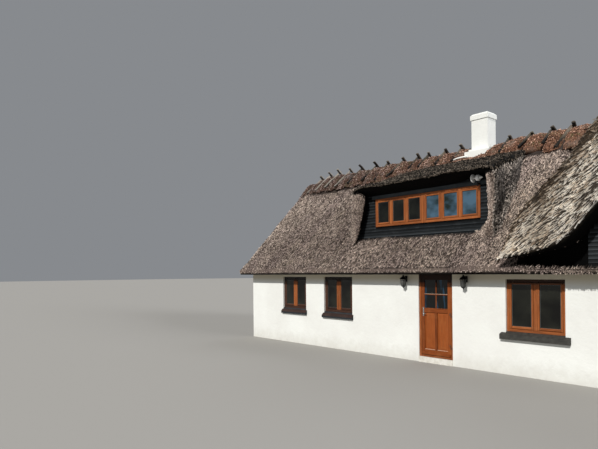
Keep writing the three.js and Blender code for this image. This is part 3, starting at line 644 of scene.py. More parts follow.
white_enamel = metal_paint("white_paint", (0.95, 0.95, 0.93), (0.80, 0.80, 0.76), 0.35, 0.0)
glass = glass_paint("glass", (0.002, 0.002, 0.0015), (0.013, 0.014, 0.010))
# Blue clouds for the right dormer's panes: a painted sky reflection.
sky_reflection_glass = glass_paint(
    "sky_reflection_glass", (0.010, 0.018, 0.016), (0.065, 0.125, 0.185), (2.0, 2.0, 3.0), (0.36, 0.60))
door_pane = glass_paint("door_pane", (0.004, 0.005, 0.005), (0.018, 0.065, 0.12), (9, 9, 0.8), (0.56, 0.66))
lantern_glass = glass_paint("lantern_glass", (0.03, 0.032, 0.03), (0.16, 0.16, 0.15))
steel_grey = metal_paint("spacer_grey", (0.085, 0.095, 0.095), (0.05, 0.06, 0.06), 0.5, 0.0)
hinge_brown = metal_paint("hinge_brown", (0.13, 0.048, 0.022), (0.20, 0.09, 0.05), 0.5, 0.2)
# Pale strips on the door: painted highlights on its beads and its panels' lower edges.
bead_highlight = wood_paint("bead_highlight", (0.50, 0.32, 0.22), (0.78, 0.62, 0.48), (0.55, 0.25, 0.12), 0.5)


# Thatch on the two main slopes

def slope_points(x, y, height, side):
    """Points on the main slope, lifted along its normal."""
    return np.stack([x, side * (y + C45 * height), RISE - y + C45 * height], axis=-1)


def slope_lumps(x, y, seed):
    flat = np.stack([x, y * 1.4, np.zeros_like(x)], axis=-1)
    return 0.018 * waves(flat, 1.6, seed) + 0.009 * waves(flat, 0.45, seed + 1)


def main_slope(name, x0, x1, side, count, replaced, seed, top=None, bottom=None, ends=(False, False),
               bright=0.0, shaded_end=False):
    """A field of thatch. top and bottom give |y| of its limits at a station; None is ridge or eave. ends are
    the rounded ones, and shaded_end is for a right end that lies in the hood's dark recess."""
    rng = np.random.default_rng(seed)
    stations = np.linspace(x0, x1, max(3, int((x1 - x0) / 0.09)))
    bend = VERGE_RADIUS * (1 - np.cos(np.linspace(0, math.pi / 2, 5)[:-1]))
    if ends[0]:
        stations = np.concatenate([x0 + bend, stations[stations > x0 + VERGE_RADIUS]])
    if ends[1]:
        stations = np.concatenate([stations[stations < x1 - VERGE_RADIUS], (x1 - bend)[::-1]])
    drop = np.zeros_like(stations)
    for rounded, edge in zip(ends, (x0, x1)):
        if rounded:
            into = np.clip(VERGE_RADIUS - np.abs(stations - edge), 0, VERGE_RADIUS)
            drop -= VERGE_RADIUS - np.sqrt(np.maximum(VERGE_RADIUS**2 - into**2, 0))
    rows = 60
    rings, outer = [], []
    for x, fall in zip(stations, drop):
        y_top = top(x) if top else SLOPE_TOP_Y
        y_low = bottom(x) if bottom else LIP_Y
        y = np.linspace(y_top, y_low, rows)
        xs = np.full(rows, x)
        height = slope_lumps(xs, y, seed) + fall
        if not bottom:
            height *= np.clip((LIP_Y - y) / 0.3, 0.2, 1)
        outer.append(slope_points(xs, y, height, side))
        z = RISE - y_low
        under = [(INNER_RISE - z, z)] if bottom else EAVE_UNDER
        inner = (y_top - 0.45, RISE - y_top) if top else (0.3, INNER_RISE - 0.3)
        rings.append(np.vstack([outer[-1], [(x, side * place, z) for place, z in (*under, inner)]]))
    rings, outer = np.array(rings), np.array(outer)
    grain = np.stack([
        rings[..., 0], (np.abs(rings[..., 1]) - rings[..., 2]) * C45, rings[..., 0] * 0], axis=-1)
    tips = np.zeros(rings.shape[:2])
    # Painted shade: the under side nearly black, and the lip less dark than the coat.
    tips[:, rows + (0 if bottom else 1):-1] = -1
    if not bottom:
        tips[:, rows - 2:rows + 1] = LIP_TIP
    if shaded_end:
        tips[-1, np.abs(rings[-1, :, 1]) > 3.2] = -0.9
    loft(Shape(), rings, grain, 0.35, tips.ravel()).piece(name, reed, "reed", replaced, smooth=True)
    inside = lambda p: (np.abs(p[..., 1]) > 0.8) & (np.abs(p[..., 1]) < LIP_Y - 0.085)
    points, normals = scatter(outer, count, rng, upwards, inside)
    tufts = Shape()
    slivers(tufts, points, normals, along(normals, (0, side * C45, -C45)),
            ((0.07, 0.22), (0.008, 0.018), (0.004, 0.016)), rng, bright=bright)
    if not bottom:
        eave_fringe(tufts, x0, x1, side, rng)
    tufts.piece(name + "_tufts", reed, "reed", tidy=False)


def eave_fringe(shape, x0, x1, side, rng, sunk=lambda x: 0 * x):
    """Reed ends that stand a little past the lip and on its cut face; sunk says how far they lie lower."""
    number = int((x1 - x0) * 110)
    x = rng.uniform(x0, x1, number)
    y = rng.uniform(LIP_Y - 0.10, LIP_Y - 0.05, number)
    roots = slope_points(x, y, rng.uniform(-0.05, 0.0, number), side)
    roots[:, 2] -= sunk(x)
    everywhere = lambda *direction: np.broadcast_to(direction, roots.shape)
    slivers(shape, roots, everywhere(0, side * C45, C45), everywhere(0, side * 0.80, -0.60),
            ((0.08, 0.15), (0.012, 0.024), (0.006, 0.014)), rng, spread=0.18)
    z = rng.uniform(2.165, 2.225, number)
    cut = np.stack([x, side * np.interp(z, [2.165, 2.215], [3.52, 3.53]), z - sunk(x)], axis=1)
    slivers(shape, cut, unit(everywhere(0, side * 1.0, 0.15)), unit(everywhere(0, side * 0.15, -1.0)),
            ((0.03, 0.07), (0.010, 0.020), (0.004, 0.010)), rng, spread=0.2, sink=0.006, bright=0.1,
            apex_tip=0.6)


under_line = smooth_line(HOOD_UNDER, 60)


def hood_under_height(x):
    x = HOOD_X - abs(x - HOOD_X)
    return float(np.interp(x, under_line[:, 0], under_line[:, 1]))


def hood_cut(x):
    """|y| down to which the main slope runs where the hood's opening cuts it."""
    return RISE - hood_under_height(x) - 0.06


def build_main_thatch():
    sill = lambda x: RISE - DORMER_SILL_Z
    main_slope("thatch_left", -VERGE, -4.6, -1, 38000, ["thatch_front_left"], 10, ends=(True, False))
    main_slope("thatch_under_dormer", -4.62, -0.31, -1, 8500, ["thatch_front_under_dormer"], 20, top=sill,
               bright=0.10)
    main_slope("thatch_middle", -0.95, 0.36, -1, 10000, ["thatch_front_middle"], 30, bright=0.28,
               shaded_end=True)
    main_slope("thatch_hood_left", 0.352, HOOD_X, -1, 9000, ["thatch_front_middle"], 40, bottom=hood_cut,
               bright=0.28)
    main_slope("thatch_hood_right", HOOD_X, 2 * HOOD_X - 0.352, -1, 5000, ["thatch_front_right"], 41,
               bottom=hood_cut)
    main_slope("thatch_right", 2 * HOOD_X - 0.36, VERGE, -1, 9000, ["thatch_front_right"], 50,
               ends=(False, True))
    main_slope("thatch_back", -VERGE, VERGE, 1, 30500, ["thatch_back"], 60, ends=(True, True))


def build_skirt():
    """The low strip of eave in front of the hood's dark recess."""
    rng = np.random.default_rng(70)
    x0, x1 = 0.30, 2 * HOOD_X - 0.30
    highest_y = LIP_Y - 0.03
    crest_height = lambda x: np.interp(np.minimum(x - x0, x1 - x), [0, 0.36, 0.95], [2.315, 2.21, 2.19])
    sunk = lambda x: np.maximum(RISE - highest_y - crest_height(x), 0)
    rings, outer = [], []
    for x in np.linspace(x0, x1, 90):
        top = crest_height(x)
        y_top = min(RISE - top, highest_y)
        y = np.linspace(y_top, LIP_Y, 8)
        xs = np.full(8, x)
        lumps = slope_lumps(xs, y, 71) * np.clip((LIP_Y - y) / 0.3, 0.1, 0.6)
        line = slope_points(xs, y, lumps, -1) - (0, 0, sunk(x))
        crest = [(x, 0.05 - y_top, top - 0.005)]
        under = [(x, -place, z) for place, z in EAVE_UNDER[:3]]
        under[0] = (x, under[0][1], min(under[0][2], line[-1, 2] - 0.01))
        at_wall = [(x, -(WALL_Y + 0.01), SOFFIT_Z), (x, -(WALL_Y + 0.01), top - 0.02)]
        rings.append(np.vstack([crest, line, under, at_wall]))
        outer.append(np.vstack([crest, line]))
    tips = np.zeros((len(rings), 14))
    # Painted shade: the lip less dark than the coat, and the under side nearly black.
    tips[:, 7:10] = LIP_TIP
    tips[:, 10:13] = -1
    coat = loft(Shape(), np.array(rings), tint=0.35, tip=tips.ravel())
    coat.piece("thatch_skirt_coat", reed, "reed", ["thatch_skirt"], smooth=True)
    tufts = Shape()
    points, normals = scatter(np.array(outer), 1800, rng, upwards)
    slivers(tufts, points, normals, along(normals, (0, -C45, -C45)),
            ((0.05, 0.10), (0.008, 0.017), (0.002, 0.008)), rng)
    eave_fringe(tufts, x0, x1, -1, rng, sunk)
    tufts.piece("thatch_skirt_tufts", reed, "reed", tidy=False)


# Dormer thatch: a shell between an outer and an inner line, carried from front to back

def shell_rings(outer, inner, bulge):
    """Joins outer rows (front to back) and inner rows (front to back) round a rounded front face."""
    fraction = np.linspace(0, 1, FACE_STEPS + 2)[1:-1, None]
    rings, faces = [], []
    for over, under in zip(outer, inner):
        front = over[0] * (1 - fraction) + under[0] * fraction
        front = front + np.sin(np.pi * fraction) ** 0.6 * bulge * (0, -1, 0)
        faces.append(np.vstack([over[:1], front, under[:1]]))
        rings.append(np.vstack([over[::-1], front, under]))
    return np.array(rings), np.array(faces)


def dormer_width(y):
    return np.interp(y, [-3.1, -2.95, -2.3, -1.68, -0.52], [1.0, 1.0, 0.92, 0.905, 0.765])


def lid_height(y):
    return LID_Z + (y - LID_Y) * LID_PITCH


def dormer_outer(rim, count_back):
    """The dormer's upper side and flanks: each point of the rim is carried back into the main roof."""
    rows = []
    for x, y0, z in rim:
        y = y0 + (DORMER_BACK_Y - y0) * np.linspace(0, 1, count_back) ** 1.15
        crown, base = lid_height(y), RISE + y - 0.16
        share = (z - base[0]) / (crown[0] - base[0])
        flank = DORMER_FLANKS[0] if x < DORMER_MIDDLE_X else DORMER_FLANKS[1]
        if z < 3.4:
            inwards = (x - flank) * (flank - DORMER_MIDDLE_X) < 0
            x = flank + ((x - flank) * np.clip(1 - (y - y0) / 0.25, 0, 1) if inwards else 0)
        x = DORMER_MIDDLE_X + (x - DORMER_MIDDLE_X) * dormer_width(y) / dormer_width(y0)
        rows.append(np.stack([x, y, base + share * (crown - base)], axis=-1))
    return np.array(rows)


def build_wide_dormer():
    rng = np.random.default_rng(80)
    rim = smooth_line([outer + inner + back for outer, inner, back in DORMER_RIM], 210)
    outer = dormer_outer(rim[:, :3], 34)
    lumps = 0.014 * waves(outer, 0.9, 81) + 0.007 * waves(outer, 0.25, 82)
    side = np.cross(outer[1:, :-1] - outer[:-1, :-1], outer[:-1, 1:] - outer[:-1, :-1])
    normal = unit(np.pad(side, ((0, 1), (0, 1), (0, 0)), mode="edge"))
    outer = outer + normal * (lumps - 0.008)[..., None] * np.sign(np.mean(normal[..., 2]))
    fraction = np.linspace(0, 1, FACE_STEPS + 2)[1:-1]
    rings, faces, tips = [], [], []
    for over, row, lid in zip(outer, rim, np.clip((rim[:, 2] - 4.34) / 0.06, 0, 1)):
        under, (back_x, back_z) = row[3:6], row[6:]
        face = over[0] * (1 - fraction[:, None]) + under * fraction[:, None]
        face[:, 1] -= np.sin(np.pi * fraction) ** 0.6 * 0.03 * (1 - lid)
        reveal = [under, (back_x * 0.6 + under[0] * 0.4, -2.76, back_z * 0.7 + under[2] * 0.3),
                  (back_x, BOARDS_Y, back_z), (back_x, -2.45, back_z)]
        rings.append(np.vstack([over[::-1], face, reveal]))
        faces.append(np.vstack([over[:1], face, [under]]))
        # Painted shade: the reveal dark, the lid's underside nearly black, and the lid's front face darker
        # downwards.
        shaded = -0.89 * lid - (0.5 if row[0] < DORMER_MIDDLE_X else 0.8) * (1 - lid)
        tips.append(np.concatenate([np.zeros(len(over)), -0.65 * lid * fraction, np.full(4, shaded)]))
    rings = np.array(rings)
    grain = np.stack([rings[..., 0], -rings[..., 1] - rings[..., 2] * 0.5, rings[..., 0] * 0], axis=-1)
    # The dormer's coat is dark with moss and with painted shade.
    loft(Shape(), rings, grain, 0.3, np.array(tips).ravel()).piece(
        "dormer_thatch", moss_and_shade_reed, "reed", ["dormer_thatch_top", "dormer_cheek_left", "dormer_cheek_right"],
        smooth=True)
    dormer_tufts(outer, np.array(faces), rim, rng)


def dormer_tufts(outer, faces, rim, rng):
    """Tufts on the lid and its edge, dark with moss and painted shade, and plain reed on the flanks and
    beside the boards.
    """
    lid, flanks, sides = Shape(), Shape(), Shape()
    middle = outer.reshape(-1, 3).mean(0)
    above = lambda p: (p[..., 2] > RISE + p[..., 1] - 0.03) & (p[..., 1] < -0.5)
    points, normals = scatter(outer, 19000, rng, lambda p: p - middle + (0, 0, 0.8), above)
    top = lid_height(points[:, 1]) - points[:, 2] < 0.10
    flow = along(normals, (0, -0.6, -0.8))
    bright = np.where(top, 0.0, 0.40 - 0.30 * np.clip((points[:, 2] - 3.3) / 0.8, 0, 1))
    for shape, chosen in ((lid, top), (flanks, ~top)):
        slivers(shape, points[chosen], normals[chosen], flow[chosen],
                ((0.07, 0.20), (0.010, 0.024), (0.004, 0.024)), rng, 0.3, bright=bright[chosen])
    points, normals = scatter(faces, 7000, rng, lambda p: (0, -1, 0), lambda p: p[..., 2] < 4.30)
    bright = np.where(points[:, 0] > DORMER_MIDDLE_X, 0.22, 0.0)
    slivers(sides, points, normals, along(normals, (0, -0.3, -0.95)),
            ((0.05, 0.14), (0.008, 0.018), (0.006, 0.02)), rng, 0.3, bright=bright)
    front = outer[(rim[:, 2] > 4.37), 0]
    count = 2600
    points = front[rng.integers(0, len(front), count)]
    points = points + rng.normal(0, 0.012, (count, 3)) * (1, 1, 0.8) + (0, 0.03, -0.004)
    normals = np.broadcast_to((0, -LID_PITCH, 1.0), points.shape)
    flow = np.broadcast_to((0, -1.0, -LID_PITCH - 0.1), points.shape)
    slivers(lid, points, unit(normals), unit(flow), ((0.05, 0.13), (0.010, 0.020), (0.004, 0.012)), rng, 0.2,
            bright=0.3)
    # Lid tufts: moss and painted shade.
    lid.piece("dormer_lid_tufts", moss_and_shade_reed, "reed", tidy=False)
    flanks.piece("dormer_flank_tufts", flank_reed, "reed", tidy=False)
    sides.piece("dormer_side_tufts", reed, "reed", tidy=False)


def both_halves(half):
    """A line of (x, z) places with its mirror image on the hood's right side."""
    return np.vstack([half, (half * (-1, 1) + (2 * HOOD_X, 0))[::-1][1:]])


def build_hood():
    rng = np.random.default_rng(90)
    outer_rows, inner_rows = [], []
    for (x, z), (ux, uz) in zip(*(both_halves(smooth_line(line, 70)) for line in (HOOD_OUTER, HOOD_UNDER))):
        back = min(-(RISE - z) + 0.15, -0.35)
        y = HOOD_ARRIS_Y + (back - HOOD_ARRIS_Y) * np.linspace(0, 1, 26)
        outer_rows.append([(x, place, z) for place in y])
        inner_rows.append([(ux, place, uz) for place in (HOOD_LOWER_Y, HOOD_LOWER_Y + 0.25, -3.05, -2.8)])
    outer = np.array(outer_rows)
    lumps = 0.02 * waves(outer, 1.1, 91) + 0.008 * waves(outer, 0.35, 92)
    radial = unit(outer - (HOOD_X, 0, 2.6)) * (1, 0, 1)
    outer = outer + radial * (lumps - 0.04)[..., None]
    rings, face = shell_rings(outer, np.array(inner_rows), 0.02)
    side = np.sign(rings[..., 0] - HOOD_X)
    down = np.stack([side * math.cos(STEM_PITCH), side * 0, side * 0 - math.sin(STEM_PITCH)], axis=-1)
    grain = np.stack([
        rings[..., 0] * math.sin(STEM_PITCH) * side + rings[..., 2] * math.cos(STEM_PITCH),
        np.sum(rings * down, axis=-1), rings[..., 1]], axis=-1)
    tips = np.zeros(rings.shape[:2])
    # The hood's underside is painted nearly black, as shade.
    tips[:, -3:] = -1
    loft(Shape(), rings, grain, 0.2, tips.ravel()).piece(
        "gable_hood", pale_reed, "pale_reed", ["gable_thatch_left", "gable_thatch_right"], smooth=True)
    tufts = Shape()
    above = lambda p: p[..., 2] > RISE + p[..., 1] - 0.03
    points, normals = scatter(outer, 12000, rng, lambda p: p - (HOOD_X, 0, 2.6), above)
    slivers(tufts, points, normals, along(normals, (0, -0.25, -1)),
            ((0.06, 0.15), (0.014, 0.030), (0.005, 0.018)), rng)
    # The hood's outer tufts are painted darker, as shade.
    tufts.piece("gable_hood_tufts", shaded_brown_reed, "pale_reed", tidy=False)
    hood_stems(face, rng)


def hood_stems(face, rng):
    """Stems that lie along the front of the hood, seen lengthwise, with painted shade towards the arris."""
    stems = Shape()
    count = 9000
    points, normals = scatter(face, count, rng, lambda p: (0, -1, 0))
    side = np.sign(points[:, 0] - HOOD_X)
    left_x = HOOD_X - np.abs(points[:, 0] - HOOD_X)
    low = np.array([hood_under_height(x) for x in left_x])
    above = np.clip((points[:, 2] - low) / 0.35, 0, 1)
    pitch = STEM_PITCH + (1 - above) * np.radians(13) * (left_x > 1.3)
    down = np.stack([side * np.cos(pitch), 0 * pitch, -np.sin(pitch)], axis=1)
    # Painted shade: stems get darker towards the arris.
    arris = np.clip((points[:, 1] - HOOD_ARRIS_Y + 0.053) / 0.030, 0, 1)
    inward = np.clip((HOOD_ARRIS_Y - points[:, 1:2]) / (HOOD_ARRIS_Y - HOOD_LOWER_Y), 0, 1)
    flow, length = along(normals, down), rng.uniform(0.14, 0.34, (count, 1))
    roots = points - flow * (length * 0.5 * inward**2) + normals * rng.uniform(-0.02, 0.01, (count, 1))
    slivers(stems, roots, normals, flow, (length, (0.012, 0.028), (0.010, 0.026)), rng, 0.14, 0.02,
            0.32 - 0.80 * arris, 0.7)
    stems.piece("gable_hood_stems", pale_reed, "pale_reed", tidy=False)


# Heather ridge with its crossed logs

def log_places():
    places = list(LOG_X)
    while places[-1] + LOG_SPACING < VERGE - 0.3:
        places.append(places[-1] + LOG_SPACING)
    return np.array(places)


def log_height(y):
    return LOG_CROSSING_Z - np.abs(y) * math.tan(LOG_PITCH)


def over_dormer(x):
    """1 over the wide dormer, 0 beside it."""
    return np.clip((x + 4.75) / 0.25, 0, 1) * np.clip((-0.2 - x) / 0.25, 0, 1)


def ridge_end_drop(x):
    """1 at the ends of the ridge, where it is pressed down, and 0 from a metre inwards."""
    return (1 - np.clip((VERGE - abs(x)) / 1.1, 0, 1)) ** 1.5


def valley(distance):
    """0 on a log and 1 between two logs."""
    gap = np.clip((abs(distance) - 0.06) / 0.10, 0, 1)
    return gap * gap * (3 - 2 * gap)


def ridge_section(x, offset):
    """The ridge's section at a station in (y, z), from the back edge over the top to the front edge, and
    how deep each point lies in a groove. offset is the distance to the nearest pair of logs."""
    turn = np.linspace(-1, 1, 22) * math.pi / 4
    radius = RIDGE_RADIUS + 0.03 * np.clip((x - COLLAR_X[1]) / 0.1, 0, 1)
    radius -= 0.08 * np.clip(1 - abs(x - COLLAR_X[1]) / 0.55, 0, 1)
    arc = np.stack([radius * np.sin(turn), RIDGE_CENTRE_Z + radius * np.cos(turn)], axis=1)
    down = np.linspace(0, 1, 12)[1:, None]
    lines, betweens = [], []
    for side, narrow in ((1, 0.0), (-1, over_dormer(x))):
        between = valley(offset - side * LOG_SHIFT)
        edge = RIDGE_EDGE_Y + 0.05 * between - 0.03 - 0.17 * narrow
        foot = np.array([edge, RIDGE_EDGE_Z + (RIDGE_EDGE_Y - edge) * (1 + 0.15 * narrow)])
        swell = np.sin(np.pi * down) ** 0.8 * 0.04 * between
        lines.append((arc[-1] * (1 - down) + foot * down + swell * C45) * (side, 1))
        betweens.append(between)
    line = np.vstack([lines[0][::-1], arc[::-1], lines[1]])
    reach, front = np.abs(line[:, 0]), line[:, 0] < 0
    in_front = np.clip(0.5 - line[:, 0] / 0.3, 0, 1)
    between = betweens[1] * in_front + betweens[0] * (1 - in_front)
    pressed = np.minimum(line[:, 1], log_height(line[:, 0]) - 0.012 - 0.02 * np.clip(reach - 0.4, 0, 1))
    height = line[:, 1] * between + pressed * (1 - between)
    slot_at = offset + np.where(front, -0.035, 0.035)
    groove = np.exp(-((slot_at / 0.040) ** 2)) * np.clip((reach - 0.22) / 0.14, 0, 1)
    base = np.minimum(5.30, RISE - reach)
    height = base + (height - base) * (1 - 0.5 * ridge_end_drop(x))
    lowest = base + 0.014
    if over_dormer(x) > 0.5:
        lowest = np.maximum(lowest, np.where(front, lid_height(line[:, 0]) + 0.012, 0))
    line[:, 1] = np.maximum(height - 0.10 * groove, lowest)
    if COLLAR_X[0] - 0.25 < x < COLLAR_X[1] + 0.02:
        before = 0.01 - COLLAR_Y - 0.19 * np.clip((COLLAR_X[0] - x) / 0.24, 0, 1)
        apron = 5.335 + 0.45 * (line[:, 0] + COLLAR_Y)
        line[:, 1] = np.where(line[:, 0] < before, np.minimum(line[:, 1], apron), line[:, 1])
    return line, groove


def ridge_part(x0, x1, places):
    """Outer lines and depths of the ridge between two stations."""
    lines, depths = [], []
    for x in np.linspace(x0, x1, max(2, int((x1 - x0) / 0.022))):
        line, groove = ridge_section(x, x - places[np.argmin(np.abs(places - x))])
        end = min(VERGE - abs(x), 0.14) / 0.14
        middle = np.array([0, 4.6])
        line = middle + (line - middle) * (0.95 + 0.05 * math.sqrt(max(1 - (1 - end) ** 2, 0.0)))
        lines.append(np.insert(line, 0, x, axis=1))
        # The grooves beside the logs get painted shade, nearly black.
        depths.append(-0.97 * groove)
    lines = np.array(lines)
    lumps = 0.014 * waves(lines, 0.4, 101) + 0.010 * waves(lines, 0.15, 102)
    way = unit((lines - (0, 0, 4.5)) * (0, 1, 1))
    return lines + way * (lumps - 0.012)[..., None], np.array(depths)


def add_ridge_part(shape, lines, depths, under):
    """Closes outer lines of the ridge with an under side of (y, z) places."""
    below = np.array([[(line[0, 0], *place) for place in under] for line in lines])
    # The under side gets painted shade.
    tips = np.hstack([depths, np.full(below.shape[:2], -0.9)])
    loft(shape, np.concatenate([lines, below], axis=1), tint=0.3, tip=tips.ravel())


def build_ridge():
    rng = np.random.default_rng(100)
    places = log_places()
    shape, tufts = Shape(), Shape()
    foot = RISE - RIDGE_FOOT_Y + 0.012
    for x0, x1, count in ((-VERGE, COLLAR_X[0], 12500), (COLLAR_X[1], VERGE, 17500)):
        lines, depths = ridge_part(x0, x1, places)
        add_ridge_part(shape, lines, depths, [(-RIDGE_FOOT_Y, foot), *RIDGE_BED, (RIDGE_FOOT_Y, foot)])
        ridge_tufts(tufts, lines, count, places, rng)
    lines, depths = ridge_part(*COLLAR_X, places)
    bed = [(COLLAR_Y, 5.30), (0.45, 5.30), (RIDGE_FOOT_Y, foot)]
    front = lines[0, :, 1] < -COLLAR_Y
    back = lines[0, :, 1] > COLLAR_Y
    add_ridge_part(shape, lines[:, back], depths[:, back], bed)
    add_ridge_part(shape, lines[:, front], depths[:, front], [(-y, z) for y, z in bed[::-1]])
    ridge_tufts(tufts, lines[:, front], 260, places, rng)
    ridge_tufts(tufts, lines[:, back], 400, places, rng)
    shape.piece("heather_cap", heather, "heather", ["heather_ridge"], smooth=True)
    tufts.piece("heather_tufts", heather, "heather", tidy=False)
    build_logs(places, rng)


def ridge_tufts(shape, lines, count, places, rng):
    """Heather ends all over the pillows, but none on the logs and in the slots beside them."""
    points, normals = scatter(lines, count, rng, lambda p: p * (0, 1, 1) - (0, 0, 4.5))
    offset = points[:, 0] - places[np.argmin(np.abs(points[:, :1] - places), axis=1)]
    offset = np.where(points[:, 1] < 0, offset, -offset)
    clear = (offset < -0.085) | (offset > 0.06) | (np.abs(points[:, 1]) < 0.22)
    points, normals = points[clear], normals[clear]
    way = np.stack([np.zeros(len(points)), np.sign(points[:, 1]), -np.ones(len(points))], axis=1)
    slivers(shape, points, normals, along(normals, way),
            ((0.04, 0.12), (0.008, 0.020), (0.004, 0.018)), rng, 0.7)


def log_reach(x):
    """How far down the front a log runs before it meets the dormer's lid or the hood's crown."""
    slope = math.tan(LOG_PITCH)
    underside = LOG_CROSSING_Z - 0.045
    if over_dormer(x) > 0.3:
        return (underside - lid_height(0)) / (slope - LID_PITCH)
    crown = float(np.interp(HOOD_X - abs(x - HOOD_X), *np.array(HOOD_OUTER).T))
    return min(LOG_REACH, (underside - crown) / slope)


def build_logs(places, rng):
    """Pairs of split logs that cross over the ridge; those at the left end are bleached."""
    dark, pale = Shape(), Shape()
    for x in places:
        if COLLAR_X[0] < x < COLLAR_X[1]:
            continue
        drop = 0.17 * ridge_end_drop(x)
        for side in (-1, 1):
            pitch = LOG_PITCH + math.radians(rng.uniform(-1.2, 1.2))
            skew = math.radians(rng.normal(0, 3.5))
            down = np.array([math.sin(skew), side * math.cos(pitch), -math.sin(pitch)])
            cross = np.array([x + side * LOG_SHIFT, 0, LOG_CROSSING_Z - drop + rng.uniform(-0.012, 0.012)])
            reach = (LOG_REACH if side > 0 else log_reach(x)) - rng.uniform(0, 0.05)
            tip = rng.uniform(0.02, 0.07) if side < 0 else rng.choice([0.09, 0.13, 0.17], p=[0.4, 0.4, 0.2])
            if x < COLLAR_X[0]:
                tip += 0.09 if x > -3.0 else 0.04
            at_end = x < PALE_LOGS_TO_X
            cross[2] += 0.03 * at_end
            bleached = rng.random() < (1.0 if at_end else 0.12)
            start, end = cross - down * tip, cross + down * reach / math.cos(pitch)
            add_log(pale if bleached else dark, start, end, rng, 0.2 if at_end else 0.95)
    dark.piece("ridge_logs", log, "heather", ["heather_ridge"])
    pale.piece("ridge_pale_logs", pale_log, "heather", ["heather_ridge"])


def add_log(shape, start, end, rng, foot_shade):
    """A split log: a rough section that wanders a little along its length, with painted shade on its
    underside and lower half, where it lies in its groove.
    """
    steps, sides = 10, 8
    fraction = np.linspace(0, 1, steps)[:, None]
    path = start * (1 - fraction) + end * fraction
    path[1:-1] += rng.normal(0, 0.004, (steps - 2, 3))
    way = unit(end - start)
    across = unit(np.cross(way, (0, way[1], 1.0)))
    up = np.cross(across, way)
    up *= np.sign(up[2])
    angle = np.linspace(0, 2 * math.pi, sides, endpoint=False) + rng.uniform(-0.2, 0.2, sides)
    wide, thick = rng.uniform(0.042, 0.054) * np.cos(angle), rng.uniform(0.030, 0.040) * np.sin(angle)
    rough = rng.uniform(0.84, 1.1, (steps, sides)) * (1.0 - 0.12 * fraction)
    rings = path[:, None] + rough[..., None] * (wide[:, None] * across + thick[:, None] * up)
    offset = rng.uniform(0, 40, 3)
    length = fraction * np.linalg.norm(end - start)
    grain = np.stack(np.broadcast_arrays(wide, length, thick), axis=-1) + offset
    under = np.clip(np.sin(angle) * 1.6 + 0.1, -0.9, 0.0)
    tip = np.minimum(under, -foot_shade * np.clip((fraction - 0.42) / 0.3, 0, 1))
    loft(shape, rings, grain, tint=rng.random(), tip=tip.ravel())


def build_mortar():
    """The pale fillet that runs down to the left from the collar's front corner."""
    line = [(-2.84, -0.60, 5.285), (-2.74, -0.60, 5.305), (-2.62, -0.56, 5.325), (-2.50, -0.47, 5.35)]
    tube(Shape(), smooth_line(line, 14), 0.022, 8).piece("chimney_fillet", lime, "render", smooth=True)


# Walls, chimney and floors: the solids stay, with soft corners and their own finish

def soften(name, surface, width, segments=3):
    node = nodes[name]
    node.data.materials.clear()
    node.data.materials.append(surface)
    node.data.shade_smooth()
    bevel = node.modifiers.new("soft_corners", "BEVEL")
    bevel.width, bevel.segments, bevel.limit_method, bevel.harden_normals = width, segments, "ANGLE", True


def finish_masonry():
    for name in ("front_wall_left", "front_wall_right", "back_wall", "gable_wall_left", "gable_wall_right"):
        soften(name, lime, 0.014)
    soften("chimney", lime, 0.012)
    for name in ("ground_floor", "upper_floor"):
        soften(name, floor_wood, 0.002, 1)
    soften("door_threshold", sill_stone, 0.008)
    for number in (3, 4, 5):
        soften("window_%d_sill" % number, slate, 0.006)


# Joinery, built facing -Y around its own middle and then turned to its wall

def put(shape, turn, middle):
    """Turns a shape about Z and moves it."""
    c, s = math.cos(turn), math.sin(turn)
    matrix = np.array([[c, -s, 0], [s, c, 0], [0, 0, 1]])
    shape.points = [points @ matrix.T + middle for points in shape.points]
    return shape


FRAME_RECESS = 0.05
FRAME_DEPTH = 0.108
FRAME_FACE = 0.058
SASH_FACE = 0.046
SASH_GAP = 0.005
PANE_LAP = 0.004
MULLION = 0.072
SILL_OUT = 0.07
SILL_WIDE = 0.035
SILL_FALL = 0.113
SILL_LIP = 0.067


def bars_round(parts, outer, inner, y0, y1, rng, low_chamfer=0.004):
    """Two posts with two rails between them, left, right, top and bottom, each in its own shape. outer and
    inner are (x0, x1, z0, z1)."""
    x0, x1, z0, z1 = outer
    in0, in1, low, high = inner
    bars = ((x0, z0, in0, z1, 2), (in1, z0, x1, z1, 2), (in0, high, in1, z1, 0), (in0, z0, in1, low, 0))
    for part, (xa, za, xb, zb, axis), chamfer in zip(parts, bars, (0.004, 0.004, 0.004, low_chamfer)):
        beam(part, (xa, y0, za), (xb, y1, zb), axis, chamfer, rng)


